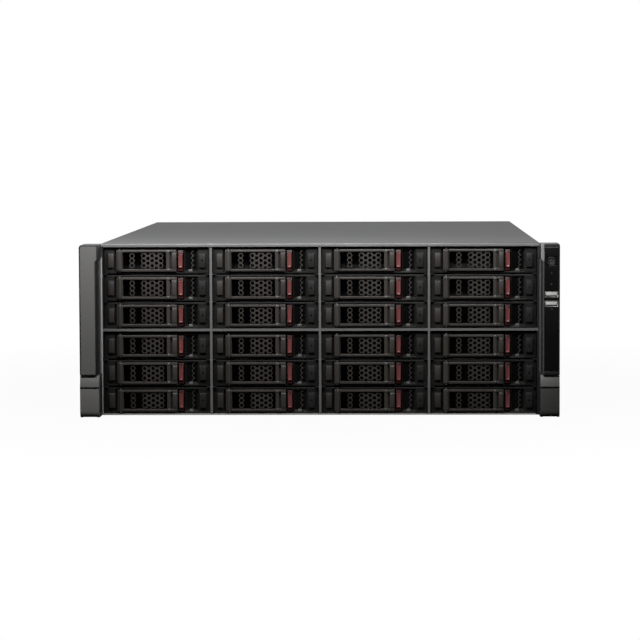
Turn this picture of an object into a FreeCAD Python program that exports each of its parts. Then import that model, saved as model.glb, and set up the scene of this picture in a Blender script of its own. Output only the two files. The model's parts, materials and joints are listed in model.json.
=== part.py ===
import FreeCAD, Part
import os
from math import cos, pi, sin
from FreeCAD import Vector

os.makedirs("parts", exist_ok=True)

# A rack server four units high with 24 hot-swap drive trays.
# Millimetres, X along the front, Y to the rear, Z up. Small pins and their bores have twelve flats.
pin_flats = 12

# Chassis
rack_width = 482.6
chassis_width = 445.6
chassis_height = 175.5
chassis_depth = 650.0
sheet = 1.2
ear_reach = 35.0
power_rise = 0.6
rear_reach = 6.5
half = chassis_width / 2
front = ear_reach + power_rise - (ear_reach + power_rise + chassis_depth + rear_reach) / 2
rear = front + chassis_depth
cover_bottom = chassis_height - sheet
cover_gap = 0.3
cover_sheet = 1.0
cover_skirt = 13.0
wall_top = cover_bottom - cover_skirt - cover_gap
cover_lip = 2.7
rail_hole = 2.2
rail_hole_spacing = 320.0
rail_hole_height = 120.0

# Drive bays
columns = 4
rows = 6
divider = 2.4
shelf = 2.4
bay_width = (chassis_width - 4 * sheet - (columns - 1) * divider) / columns
column_pitch = bay_width + divider
row_pitch = 28.0
shelf_step = 3.0
tray_rest = 0.1
runner_reach = 4.0
runner_sheet = 1.0
cage_depth = 182.0
cage_top = cover_bottom - 0.3

# Drive tray
tray_width = 107.4
tray_height = 26.6
tray_set_back = 0.8
tray_front = front + tray_set_back
bezel_depth = 14.0
bezel_rim = 1.8
gloss_recess = (82.0, 95.6)
gloss_slope = 1.5
gloss_depth = 4.0
rail_height = 22.0
rail_end = 172.0
drive_size = (101.6, 147.0, 26.1)
drive_start = 23.6
rail_sheet = (tray_width - drive_size[0]) / 2

# Tray lever and its release button, across the bezel from its left end
bay_left = 10.6
bay_depth = 6.5
lever_left = 12.9
lever_right = 74.2
lever_low = 2.2
lever_high = tray_height - 2.2
lever_thick = 6.0
lever_rib = (14.4, 18.2)
lever_rib_rise = 1.6
rib_taper = 0.6
lever_hinge = lever_left + lever_thick / 2
hinge_pin = 1.25
hinge_play = 0.05
air_window = (19.2, 70.0)
air_slots = ((19.6, 25.8), (31.2, 37.2))
window_low = 4.6
window_high = tray_height - 4.6
hex_flats = 7.6
hex_pitch = 8.6
hex_first = 42.4
hex_rise = hex_pitch * 3 ** 0.5 / 4
button_well = (75.0, 81.6)
well_depth = 12.5
button_span = (75.7, 80.8)
button_low = lever_low + 0.6
button_high = lever_high - 0.6
button_back = 9.0
button_lean = (-1.2, 0.2)

# Rack ears
ear_inner = 222.2
ear_outer = rack_width / 2
ear_low = 0.3
ear_high = 175.3
ear_corner = 3.0
grip_depth = 1.9
grip_high = 160.0
flange_sheet = 2.0
flap_top = 43.0
flap_gap = 0.6
flap_wall = 2.5
flap_depth = 11.0
flap_round = 6.4
flap_axis = (front - ear_reach + flap_round, 7.2)
flap_pin = 1.5
flap_groove = (flap_top - 13.2, flap_top - 11.0)
flap_groove_depth = 1.6
flap_lean = 2.4
flap_shell = 3.6
seat_front = front - ear_reach + 13.5
rack_screw_x = 465.1 / 2
rack_screw_z = 22.0
rack_screw = 2.5
rack_screw_grip = 5.6
rack_screw_neck = 3.5
rack_screw_slot = 4.2
rack_screw_well = 6.6

# Control panel in the right ear
panel_x = (225.7, 240.1)
panel_z = (47.0, 172.0)
panel_sheet = 1.6
panel_middle = (panel_x[0] + panel_x[1]) / 2
power_size = 8.4
power_z = 158.0
power_depth = 9.0
power_well = 14.0
power_bevel = 1.2
usb_size = (13.1, 12.0, 5.7)
usb_wall = 0.4
usb_tongue = (11.2, 1.8)
usb_heights = (124.7, 115.2)

# Backplane
plane_half = 216.0
plane_sheet = 2.4
plane_z = (4.0, 171.0)

# Fans
fan_size = 120.0
fan_depth = 38.0
fan_bore = 57.5
fan_pitch = 140.0
fan_front = front + 200.0
fan_middle = 88.0
fan_hub = 21.0
fan_nose = 12.0
fan_blade = 55.5
fan_rim = 3.0
fan_gap = 0.4
blade_count = 7
blade_chord = 11.0
blade_sheet = 2.4
blade_root = 0.4
fan_flats = 20
motor_plate = 16.0
motor_arm = 3.0
motor_sheet = 3.0

# Main board and what stands on it
board_x = (-212.0, 118.0)
board_y = (rear - 310.0, rear - 5.2)
board_low = 8.0
board_sheet = 1.6
board_top = board_low + board_sheet
socket_x = (-125.0, 30.0)
socket_y = rear - 215.0
socket_size = 60.0
socket_height = 4.0
sink_width = 82.0
sink_length = 84.0
sink_top = 92.0
fin_count = 9
fin_sheet = 1.6
module_size = (4.0, 133.0, 31.0)
module_offsets = (50.0, 58.0, 66.0)
slot_count = 7
slot_pitch = 20.32
slot_first = -195.0

# Rear panel and the connectors on the board's edge
panel_cut = (rear - sheet - 1, rear + 1)
vent_width = 17.0
vent_step = 25
vent_top = 162.0
slot_mouth = 6.5
slot_mouth_z = (14.0, 118.0)
io_x = (-42.0, 117.0)
io_z = (board_top - 0.1, 54.0)
io_y = (rear - 24.0, rear + 0.6)
io_usb_x = (98.5, 113.0)
io_usb_tall = 15.6
io_usb_wall = 1.0
io_usb_lifts = (1.6, 8.9)
io_usb_mouth = 5.1
io_usb_deep = 10.0
jack_places = (26.5, 44.5, 62.5, 80.5)
jack_width = 16.0
jack_tall = 13.5
jack_side = 2.1
jack_mouth = (2.0, 10.6)
jack_deep = 13.0
port_places = (-8.0, -40.0)
port_width = 30.8
port_tall = 12.5
port_shell = ((7.6, 2.2), (23.2, 2.2), (24.4, 10.3), (6.4, 10.3))
port_reach = 6.0

# Power supplies
psu_x = (133.2, 209.2)
psu_height = 42.0
psu_floors = (3.4, 49.8)
psu_length = 188.0
psu_gap = 0.8
psu_cage_x = (131.0, 211.4)
psu_cage_front = rear - 214.0
psu_face = rear + 1.5
inlet_x = (psu_x[0] + 5.0, psu_x[0] + 29.0)
inlet_z = (4.0, 20.4)
inlet_depth = 17.0
psu_fan = 14.5
psu_fan_depth = 12.0
psu_fan_flats = 16
bail_bar = 3.0
bail_x = (168.6, 205.4)
bail_axis_y = rear + 4.1
bail_axis_z = psu_height - 5.0
bail_drop = 26.0
bail_pin = 1.2
bail_stub = 1.9
eye_width = 2.4
eye_half = 2.4


def block(x, y, z):
    """A box between two values on each axis."""
    return Part.makeBox(x[1] - x[0], y[1] - y[0], z[1] - z[0], Vector(x[0], y[0], z[0]))


def prism(points, axis, start, end):
    """A flat outline drawn across one axis and pushed along it from start to end."""
    if axis == "x":
        corners = [Vector(start, a, b) for a, b in points]
        push = Vector(end - start, 0, 0)
    elif axis == "y":
        corners = [Vector(a, start, b) for a, b in points]
        push = Vector(0, end - start, 0)
    else:
        corners = [Vector(a, b, start) for a, b in points]
        push = Vector(0, 0, end - start)
    return Part.Face(Part.makePolygon(corners + corners[:1])).extrude(push)


def rod(axis, centre, radius, start, end):
    """A cylinder along one axis; centre holds the other two coordinates."""
    if axis == "x":
        return Part.makeCylinder(radius, end - start, Vector(start, centre[0], centre[1]), Vector(1, 0, 0))
    if axis == "y":
        return Part.makeCylinder(radius, end - start, Vector(centre[0], start, centre[1]), Vector(0, 1, 0))
    return Part.makeCylinder(radius, end - start, Vector(centre[0], centre[1], start), Vector(0, 0, 1))


def hexagon(u, v, flats):
    """Corners of an upright hexagon about a point."""
    reach = flats / 3 ** 0.5
    return [(u + reach * cos(pi * (2 * k + 1) / 6), v + reach * sin(pi * (2 * k + 1) / 6)) for k in range(6)]


def ring(u, v, radius, count):
    """Corners of a regular outline about a point, for mouths, hubs, pins and their bores."""
    angles = [2 * pi * k / count for k in range(count)]
    return [(u + radius * cos(a), v + radius * sin(a)) for a in angles]


def joined(first, *others):
    """Pieces welded or moulded into one solid."""
    return first.multiFuse(list(others)).removeSplitter()


def mirrored(solid):
    """The left-hand twin of a right-hand piece."""
    return solid.mirror(Vector(0, 0, 0), Vector(1, 0, 0))


def save(name, *solids):
    """Write one node; a node of several pieces keeps them as separate solids."""
    shape = solids[0] if len(solids) == 1 else Part.makeCompound(list(solids))
    shape.exportStep("parts/" + name + ".step")


def tray_bottom(row):
    """Height of a tray's underside, row 1 on top; the shelf lifts the upper three rows."""
    lift = shelf_step if row <= rows / 2 else 0.0
    return sheet + tray_rest + (rows - row) * row_pitch + lift


def tray_left(column):
    """Left side of a tray in a column, column 1 on the left."""
    return -half + 2 * sheet + (column - 1) * column_pitch + (bay_width - tray_width) / 2


shelf_top = tray_bottom(rows // 2) - tray_rest
shelf_bottom = shelf_top - shelf


def chassis_tub():
    """Folded floor and side walls, cover seats along the top, hexagonal board posts, slide rail holes."""
    floor = block((-half, half), (front, rear), (0, sheet))
    right = block((half - sheet, half), (front, rear), (sheet, wall_top))
    seat = block((half - 12, half - sheet), (fan_front + 50, rear - sheet), (wall_top - sheet, wall_top))
    posts = []
    for x in (board_x[0] + 10, -47.0, board_x[1] - 10):
        for y in (board_y[0] + 10, board_y[1] - 20):
            posts.append(prism(hexagon(x, y, 6.0), "z", sheet, board_low))
    tub = joined(floor, right, seat, mirrored(right), mirrored(seat))
    hole_y = (front + 270.0, front + 270.0 + rail_hole_spacing)
    for y in hole_y:
        tub = tub.cut(rod("x", (y, rail_hole_height), rail_hole, -half - 1, half + 1))
    return [tub] + posts


def rear_panel():
    """Upright sheet at the back with openings for supplies, connectors and cards, and tall vents."""
    panel = block((sheet - half, half - sheet), (rear - sheet, rear), (sheet, cover_bottom))
    supply_x = (psu_x[0] - psu_gap, psu_x[1] + psu_gap)
    supply_z = (psu_floors[0] - psu_gap, psu_floors[1] + psu_height + psu_gap)
    openings = [block(supply_x, panel_cut, supply_z), block(io_x, panel_cut, io_z)]
    for k in range(slot_count):
        x = slot_first + k * slot_pitch
        openings.append(block((x - slot_mouth, x + slot_mouth), panel_cut, slot_mouth_z))
    for x in range(-200, 200, vent_step):
        low = 128.0 if x < -60 else 70.0 if x < 110 else 108.0
        openings.append(block((x, x + vent_width), panel_cut, (low, vent_top)))
    return panel.cut(Part.makeCompound(openings))


def top_cover():
    """Lid: a flat sheet with a lip at the front, and two edge rails under it that stand on the walls."""
    top = block((-half, half), (front - sheet, rear), (cover_bottom, chassis_height))
    lip = block((-half, half), (front - sheet, front), (cover_bottom - cover_lip, cover_bottom))
    skirt = block((half - cover_sheet, half), (front, rear), (cover_bottom - cover_skirt, cover_bottom))
    return [joined(top, lip), skirt, mirrored(skirt)]


def runner_plate(x, z, tops, left, right):
    """An upright sheet of the cage with runners pressed out under the trays of its open sides."""
    points = [(x[0], z[0]), (x[1], z[0])]
    if right:
        for top in tops:
            points += [(x[1], top - runner_sheet), (x[1] + runner_reach, top - runner_sheet)]
            points += [(x[1] + runner_reach, top), (x[1], top)]
    points += [(x[1], z[1]), (x[0], z[1])]
    if left:
        for top in reversed(tops):
            points += [(x[0], top), (x[0] - runner_reach, top)]
            points += [(x[0] - runner_reach, top - runner_sheet), (x[0], top - runner_sheet)]
    return prism(points, "y", front, front + cage_depth)


def drive_cage():
    """Side plates and dividers in two storeys with the shelf riveted between them."""
    inner = half - sheet
    sheets = [block((-inner, inner), (front, front + cage_depth), (shelf_bottom, shelf_top))]
    storeys = (((sheet, shelf_bottom), (5, 4)), ((shelf_top, cage_top), (2, 1)))
    for z, hung_rows in storeys:
        tops = [tray_bottom(row) - tray_rest for row in hung_rows]
        sheets.append(runner_plate((-inner, sheet - inner), z, tops, False, True))
        for k in range(1, columns):
            middle = -half + 2 * sheet + k * column_pitch - divider / 2
            sheets.append(runner_plate((middle - divider / 2, middle + divider / 2), z, tops, True, True))
        sheets.append(runner_plate((inner - sheet, inner), z, tops, True, False))
    return sheets


def tray_bezel(pinned):
    """Moulded front of a tray: lever bay, air window, button well and gloss recess, with two rails behind."""
    inner = (bezel_rim, tray_height - bezel_rim)
    body = block((0, tray_width), (0, bezel_depth), (0, tray_height))
    left, right = gloss_recess
    slope = [(left, 0), (left + gloss_slope, gloss_depth), (right - gloss_slope, gloss_depth), (right, 0)]
    hollows = [
        block((bay_left, button_well[0]), (-1, bay_depth), inner),
        block(button_well, (-1, well_depth), inner),
        block(air_window, (0, bezel_depth + 1), (window_low, window_high)),
        prism(slope, "z", *inner),
    ]
    for hollow in hollows:
        body = body.cut(hollow)
    pieces = []
    for left in (0, tray_width - rail_sheet):
        pieces.append(block((left, left + rail_sheet), (bezel_depth, rail_end), (0, rail_height)))
    if pinned:
        pin = ring(lever_hinge, lever_thick / 2, hinge_pin, pin_flats)
        pieces.append(prism(pin, "z", bezel_rim / 2, tray_height - bezel_rim / 2))
    return joined(body, *pieces)


def lever_plate(left, back):
    """The handle's plate with its tapered grip rib."""
    plate = block((left, lever_right), (0, back), (lever_low, lever_high))
    rib_left, rib_right = lever_rib
    root = lever_thick / 2
    plan = [(rib_left - rib_taper, root), (rib_left, -lever_rib_rise)]
    plan += [(rib_right, -lever_rib_rise), (rib_right + rib_taper, root)]
    return joined(plate, prism(plan, "z", lever_low, lever_high))


def lever_holes(cells):
    """Two air slots and a honeycomb through the lever; cells holds the number in each row, from below."""
    depth = (-1, bay_depth + 1)
    holes = [block(slot, depth, (window_low, window_high)) for slot in air_slots]
    for number, count in enumerate(cells):
        v = tray_height / 2 + (hex_rise if number else -hex_rise)
        for k in range(count):
            u = hex_first + (k + (3 - count) / 2) * hex_pitch
            holes.append(prism(hexagon(u, v, hex_flats), "y", *depth))
    return Part.makeCompound(holes)


def swing_lever():
    """Working handle of the top row: the barrel at its left end turns about the hinge pin."""
    axis = (lever_hinge, lever_thick / 2)
    barrel = rod("z", axis, lever_thick / 2, lever_low, lever_high)
    bore = prism(ring(*axis, (hinge_pin + hinge_play) / cos(pi / pin_flats), pin_flats), "z", 0, tray_height)
    return joined(lever_plate(lever_hinge, lever_thick), barrel).cut(bore).cut(lever_holes((3, 2)))


def shut_lever():
    """Handle of the other rows, shut on the floor of its bay, with fewer cells."""
    return lever_plate(lever_left, bay_depth).cut(lever_holes((1, 2)))


def release_button(back):
    """Coloured push button at the lever's free end; its face leans back toward the top."""
    side = [(button_lean[0], button_low), (back, button_low)]
    side += [(back, button_high), (button_lean[1], button_high)]
    return prism(side, "x", *button_span)


def drive():
    """A 3.5 inch disk drive between the rails."""
    left = (tray_width - drive_size[0]) / 2
    low = (tray_height - drive_size[2]) / 2
    wide, deep, tall = drive_size
    return block((left, left + wide), (drive_start, drive_start + deep), (low, low + tall))


def flap_outline():
    """Side view of an ear flap: rounded foot about its hinge, groove under a leaning thumb block."""
    y, z = flap_axis
    face = y - flap_round
    back = front - ear_reach + flap_depth
    foot = z - flap_round
    steps = [pi + k * pi / 16 for k in range(1, 8)]
    curve = [(y + flap_round * cos(a), z + flap_round * sin(a)) for a in steps]
    low, high = flap_groove
    sunk = face + flap_groove_depth
    outline = [(y, foot), (y + 0.6, foot), (back, z + 1.0), (back, flap_top), (face + flap_lean, flap_top)]
    outline += [(face, high), (sunk, high), (sunk, low), (face, low), (face, z)]
    return outline + curve


def ear_flap():
    """Hollow door over the rack screw; its two cheeks clip over the hinge pin from the front."""
    flap = prism(flap_outline(), "x", ear_inner, ear_outer)
    pocket_y = (front - ear_reach + flap_shell, front)
    pocket = block((ear_inner + flap_wall, ear_outer - flap_wall), pocket_y, (-1, flap_top - flap_wall))
    y, z = flap_axis
    hole = flap_pin + hinge_play
    clip = joined(
        rod("x", flap_axis, hole, ear_inner - 1, ear_outer + 1),
        block((ear_inner - 1, ear_outer + 1), (y, front), (z - hole, z + hole)),
    )
    return flap.cut(pocket).cut(clip)


def ear():
    """Moulded rack handle: upright with a finger grip along its inner edge, and the flap's seat and lug."""
    grip = ear_inner + grip_depth
    low = flap_top + flap_gap
    side = [(ear_outer, low), (ear_outer, ear_high), (ear_inner, ear_high), (ear_inner, grip_high)]
    side += [(grip, grip_high - grip_depth), (grip, low)]
    upright = prism(side, "y", front - ear_reach, front - flange_sheet)
    corners = [e for e in upright.Edges if e.BoundBox.YLength > 20 and e.BoundBox.ZMin > ear_high - 0.1]
    upright = upright.makeFillet(ear_corner, corners)
    seat = block((ear_inner, ear_outer), (seat_front, front - flange_sheet), (ear_low, low))
    well = rack_screw_well
    well_x = (rack_screw_x - well, rack_screw_x + well)
    seat = seat.cut(block(well_x, (seat_front - 1, front), (rack_screw_z - well, rack_screw_z + well)))
    y, z = flap_axis
    lug = 2.2
    bevel = 1.0
    nose = y - lug
    side = [(seat_front, z - lug), (seat_front, z + lug), (nose + bevel, z + lug), (nose, z + lug - bevel)]
    side += [(nose, z - lug + bevel), (nose + bevel, z - lug)]
    arm = prism(side, "x", rack_screw_x - 3.0, rack_screw_x + 2.0)
    pin = prism(ring(y, z, flap_pin, pin_flats), "x", ear_inner + 0.6, ear_outer - 0.6)
    return joined(upright, seat, arm, pin)


def panel_openings(start, end):
    """Openings for the power button and the two sockets of the control panel."""
    well = power_size / 2 + 0.4
    wide, deep, tall = usb_size
    well_x = (panel_middle - well, panel_middle + well)
    socket_span = (panel_middle - wide / 2, panel_middle + wide / 2)
    openings = [block(well_x, (start, start + power_well), (power_z - well, power_z + well))]
    for z in usb_heights:
        openings.append(block(socket_span, (start, end), (z - tall / 2, z + tall / 2)))
    return Part.makeCompound(openings)


def right_ear():
    """The right ear also takes the control panel, with wells behind its button and sockets."""
    face = front - ear_reach
    seat = block(panel_x, (face - 1, face + panel_sheet), panel_z)
    return ear().cut(seat).cut(panel_openings(face - 1, face + usb_size[1]))


def control_panel():
    """Gloss insert with an opening for the power button and two for the sockets."""
    face = front - ear_reach
    return block(panel_x, (face, face + panel_sheet), panel_z).cut(panel_openings(face - 1, front))


def power_button():
    """Square push button with bevelled corners."""
    face = front - ear_reach - power_rise
    reach = power_size / 2
    key_x = (panel_middle - reach, panel_middle + reach)
    key = block(key_x, (face, face + power_depth), (power_z - reach, power_z + reach))
    return key.makeChamfer(power_bevel, [e for e in key.Edges if e.BoundBox.YLength > 5])


def usb_ports():
    """Two sockets, each a steel shell with a tongue inside."""
    pieces = []
    face = front - ear_reach
    wide, deep, tall = usb_size
    for z in usb_heights:
        side = panel_middle - wide / 2
        low = z - tall / 2
        shell = block((side, side + wide), (face, face + deep), (low, low + tall))
        inner_x = (side + usb_wall, side + wide - usb_wall)
        inner_z = (low + usb_wall, low + tall - usb_wall)
        shell = shell.cut(block(inner_x, (face - 1, face + deep - 1), inner_z))
        tongue_x = (panel_middle - usb_tongue[0] / 2, panel_middle + usb_tongue[0] / 2)
        tongue = block(tongue_x, (face + 1.5, face + deep - 1), (z + 0.1, z + 0.1 + usb_tongue[1]))
        pieces.append(shell)
        pieces.append(tongue)
    return pieces


def rack_flange():
    """Steel angle: one leg on the chassis wall, the other across the rack post behind the ear."""
    leg = block((half, half + flange_sheet), (front - flange_sheet, front + 46.0), (8.0, 156.0))
    face = block((half, ear_outer), (front - flange_sheet, front), (4.0, 170.0))
    slot_x = (rack_screw_x - rack_screw_slot, rack_screw_x + rack_screw_slot)
    slot_z = (rack_screw_z - rack_screw_slot, rack_screw_z + rack_screw_slot)
    return joined(leg, face).cut(block(slot_x, (front - 10, front + 1), slot_z))


def rack_screw_piece():
    """Captive thumb screw behind the flap: its head bears on the angle, its neck goes through it."""
    centre = (rack_screw_x, rack_screw_z)
    head = prism(ring(*centre, rack_screw_grip, pin_flats), "y", seat_front + 0.5, front - flange_sheet)
    neck = prism(ring(*centre, rack_screw_neck, pin_flats), "y", front - flange_sheet, front)
    thread = rod("y", centre, rack_screw, front, front + 12.0)
    return joined(head, neck, thread)


def backplane():
    """Upright board behind the cage with air slots and one drive socket for each bay."""
    back = front + cage_depth
    board = block((-plane_half, plane_half), (back, back + plane_sheet), plane_z)
    pieces = []
    drive_rear = tray_front + drive_start + drive_size[1]
    for column in range(1, columns + 1):
        left = tray_left(column)
        for row in range(1, rows + 1):
            z = tray_bottom(row)
            pieces.append(block((left + 30, left + 72), (drive_rear + 0.3, back), (z + 2, z + 8)))
            if row in (2, 5):
                board = board.cut(block((left + 16, left + 90), (front, rear), (z + 10, z + 24)))
    return [board] + pieces


def fan_wall():
    """Cross sheet with three fan housings behind it, each with a motor plate on four arms."""
    low = fan_middle - fan_size / 2
    high = fan_middle + fan_size / 2
    fan_rear = fan_front + fan_depth
    wide = half - sheet - fan_gap
    wall = block((-wide, wide), (fan_front - sheet, fan_front), (sheet, cover_bottom - 1.4))
    motor_y = (fan_rear, fan_rear + motor_sheet)
    pieces = []
    for k in (-1, 0, 1):
        x = k * fan_pitch
        span = (x - fan_size / 2, x + fan_size / 2)
        mouth_x = (span[0] + fan_rim, span[1] - fan_rim)
        wall = wall.cut(block(mouth_x, (fan_front - 2, fan_front + 1), (low + fan_rim, high - fan_rim)))
        bore = ring(x, fan_middle, fan_bore / cos(pi / fan_flats), fan_flats)
        housing = block(span, (fan_front, fan_rear), (low, high))
        pieces.append(housing.cut(prism(bore, "y", fan_front - 1, fan_rear + 1)))
        across = block(span, motor_y, (fan_middle - motor_arm, fan_middle + motor_arm))
        upright = block((x - motor_arm, x + motor_arm), motor_y, (low, high))
        plate_z = (fan_middle - motor_plate, fan_middle + motor_plate)
        plate = block((x - motor_plate, x + motor_plate), motor_y, plate_z)
        pieces.append(joined(across, upright, plate))
    return [wall] + pieces


def blade_section(scale, z):
    """Slanted outline of a blade at one height, smaller at the root."""
    middle = fan_front + fan_depth / 2 - 1.0
    reach = blade_chord * scale
    edge = blade_sheet * scale
    corners = [(-reach, reach), (edge - reach, reach + edge / 2)]
    corners += [(reach, -reach), (reach - edge, -reach - edge / 2)]
    return [Vector(x, middle + y, z) for x, y in corners]


def tapered(lower, upper):
    """A solid with flat sides between two outlines of one form."""
    outlines = [lower, upper]
    for k in range(len(lower)):
        outlines.append([lower[k - 1], lower[k], upper[k], upper[k - 1]])
    shell = Part.Shell([Part.Face(Part.makePolygon(corners + corners[:1])) for corners in outlines])
    shell.sewShape()
    return Part.Solid(shell)


def fan_rotor(k):
    """Hub with a round nose and seven slanted blades that widen to the tip, ahead of the motor plate."""
    hub_y = (fan_front + 3.0, fan_front + fan_depth - fan_gap)
    hub = prism(ring(0, 0, fan_hub, 2 * blade_count), "y", *hub_y)
    nose = rod("y", (0, 0), fan_nose, fan_front + 1.5, fan_front + 3.0)
    root = fan_hub * cos(pi / (2 * blade_count)) - 1.0
    blades = []
    for number in range(blade_count):
        blade = tapered(blade_section(blade_root, root), blade_section(1.0, fan_blade))
        blade.rotate(Vector(0, 0, 0), Vector(0, 1, 0), 360.0 * number / blade_count)
        blades.append(blade)
    return joined(hub, nose, *blades).translated(Vector(k * fan_pitch, 0, fan_middle))


def main_board():
    """Circuit board with two processor sockets and a row of card slots."""
    pieces = [block(board_x, board_y, (board_low, board_top))]
    for x in socket_x:
        reach = socket_size / 2
        span_y = (socket_y - reach, socket_y + reach)
        pieces.append(block((x - reach, x + reach), span_y, (board_top, board_top + socket_height)))
    for k in range(slot_count):
        x = slot_first + k * slot_pitch
        pieces.append(block((x - 3.7, x + 3.7), (rear - 112, rear - 22), (board_top, board_top + 11.0)))
    return pieces


def heat_sink(x):
    """Finned block on a processor, fins along the air stream."""
    low = board_top + socket_height
    pitch = (sink_width - fin_sheet) / (fin_count - 1)
    left = x - sink_width / 2
    points = [(left, low), (left + sink_width, low)]
    for k in reversed(range(fin_count)):
        fin = left + k * pitch
        points += [(fin + fin_sheet, low + 7), (fin + fin_sheet, sink_top), (fin, sink_top), (fin, low + 7)]
    outline = points[:2] + points[3:-1]
    return prism(outline, "y", socket_y - sink_length / 2, socket_y + sink_length / 2)


def memory_modules():
    """Memory sticks on both sides of each processor."""
    wide, deep, tall = module_size
    sticks = []
    span_y = (socket_y - deep / 2, socket_y + deep / 2)
    for x in socket_x:
        for side in (-1, 1):
            for offset in module_offsets:
                u = x + side * offset
                sticks.append(block((u - wide / 2, u + wide / 2), span_y, (board_top, board_top + tall)))
    return sticks


def io_connectors():
    """Connectors on the board's edge behind a thin shield: USB, four networks, a screen and a serial line."""
    shield = block(io_x, (rear - 1.0, rear - 0.3), io_z)
    low = board_top
    usb = block(io_usb_x, io_y, (low, low + io_usb_tall))
    shield = shield.cut(usb)
    for lift in io_usb_lifts:
        mouth_x = (io_usb_x[0] + io_usb_wall, io_usb_x[1] - io_usb_wall)
        usb = usb.cut(block(mouth_x, (rear - io_usb_deep, rear + 1), (low + lift, low + lift + io_usb_mouth)))
    pieces = [usb]
    for x in jack_places:
        jack = block((x, x + jack_width), io_y, (low, low + jack_tall))
        shield = shield.cut(jack)
        mouth_x = (x + jack_side, x + jack_width - jack_side)
        mouth_z = (low + jack_mouth[0], low + jack_mouth[1])
        pieces.append(jack.cut(block(mouth_x, (rear - jack_deep, rear + 1), mouth_z)))
    for x in port_places:
        base = block((x, x + port_width), io_y, (low, low + port_tall))
        shield = shield.cut(base)
        shell = [(x + u, low + v) for u, v in port_shell]
        pieces.append(joined(base, prism(shell, "y", rear, rear + port_reach)))
    return [shield] + pieces


def slot_cover(k):
    """Blank steel strip behind an unused card opening."""
    x = slot_first + k * slot_pitch
    return block((x - 9.2, x + 9.2), (rear - sheet - 1.0, rear - sheet), (11.0, 121.0))


def psu_cage():
    """Sheet housing with one bay above the other, open at the back."""
    top = psu_floors[1] + psu_height + 2.0
    cage = block(psu_cage_x, (psu_cage_front, rear - sheet), (sheet, top))
    gap = 0.6
    for low in psu_floors:
        bay_z = (low - gap, low + psu_height + gap)
        cage = cage.cut(block((psu_x[0] - gap, psu_x[1] + gap), (psu_cage_front + sheet, rear), bay_z))
    return cage


def power_supply(low):
    """Hot-swap supply: inlet well, fan mouth, and two eyes for the handle."""
    body = block(psu_x, (psu_face - psu_length, psu_face), (low, low + psu_height))
    inlet = block(inlet_x, (psu_face - inlet_depth, psu_face + 1), (low + inlet_z[0], low + inlet_z[1]))
    fan = ring(sum(bail_x) / 2, low + psu_height / 2, psu_fan, psu_fan_flats)
    body = body.cut(inlet).cut(prism(fan, "y", psu_face - psu_fan_depth, psu_face + 1))
    axis_z = low + bail_axis_z
    eyes = []
    for x in (bail_x[0] - 0.2 - eye_width, bail_x[1] + 0.2):
        eye_z = (axis_z - eye_half, axis_z + eye_half)
        eyes.append(block((x, x + eye_width), (psu_face, rear + rear_reach), eye_z))
    bore = ring(bail_axis_y, axis_z, (bail_pin + hinge_play) / cos(pi / pin_flats), pin_flats)
    return joined(body, *eyes).cut(prism(bore, "x", bail_x[0] - 2.2, bail_x[1] + 2.2))


def bail_handle(low):
    """Folding handle bent from bar, hanging against the supply when shut."""
    axis = (bail_axis_y, low + bail_axis_z)
    y = (bail_axis_y - bail_bar / 2, bail_axis_y + bail_bar / 2)
    bottom = axis[1] - bail_drop
    outer = block(bail_x, y, (bottom, axis[1] + bail_bar / 2))
    corners = [e for e in outer.Edges if e.BoundBox.YLength > 1 and e.BoundBox.ZMax < bottom + 0.1]
    outer = outer.makeChamfer(bail_bar, corners)
    inner_x = (bail_x[0] + bail_bar, bail_x[1] - bail_bar)
    bow = outer.cut(block(inner_x, (y[0] - 1, y[1] + 1), (bottom + bail_bar, axis[1] + 5)))
    stubs = [rod("x", axis, bail_pin, bail_x[0] - bail_stub, bail_x[0] + 1.0)]
    stubs.append(rod("x", axis, bail_pin, bail_x[1] - 1.0, bail_x[1] + bail_stub))
    return joined(bow, *stubs)


# Chassis, cage and cover
save("chassis_tub", *chassis_tub())
save("rear_panel", rear_panel())
save("drive_cage", *drive_cage())
save("top_cover", *top_cover())

# Drive trays; the top row carries its levers and buttons on working hinges
for row in range(1, rows + 1):
    bezel = tray_bezel(row == 1)
    for column in range(1, columns + 1):
        place = Vector(tray_left(column), tray_front, tray_bottom(row))
        bay = "r%dc%d" % (row, column)
        pieces = [bezel, drive()]
        if row == 1:
            save("lever_" + bay, swing_lever().translated(place))
            save("release_button_" + bay, release_button(button_back).translated(place))
        else:
            pieces += [shut_lever(), release_button(well_depth)]
        save("tray_" + bay, *[piece.translated(place) for piece in pieces])

# Ears with their flaps, flanges and rack screws
save("left_ear", mirrored(ear()))
save("right_ear", right_ear())
save("left_ear_flap", mirrored(ear_flap()))
save("right_ear_flap", ear_flap())
save("rack_flanges", mirrored(rack_flange()), rack_flange())
save("rack_screws", mirrored(rack_screw_piece()), rack_screw_piece())
save("control_panel", control_panel())
save("power_button", power_button())
save("usb_ports", *usb_ports())

# Inside, from the bays to the rear
save("backplane", *backplane())
save("fan_wall", *fan_wall())
for number, k in enumerate((-1, 0, 1), 1):
    save("fan_rotor_%d" % number, fan_rotor(k))
save("main_board", *main_board())
save("heat_sinks", *[heat_sink(x) for x in socket_x])
save("memory_modules", *memory_modules())
save("io_connectors", *io_connectors())
save("slot_covers", *[slot_cover(k) for k in range(slot_count)])

# Power supplies
save("psu_cage", psu_cage())
for number, low in enumerate(psu_floors, 1):
    save("psu_%d" % number, power_supply(low))
    save("psu_%d_handle" % number, bail_handle(low))
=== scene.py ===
import json
from math import cos, pi, radians, sin

import bpy
from mathutils import Matrix, Vector

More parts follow.
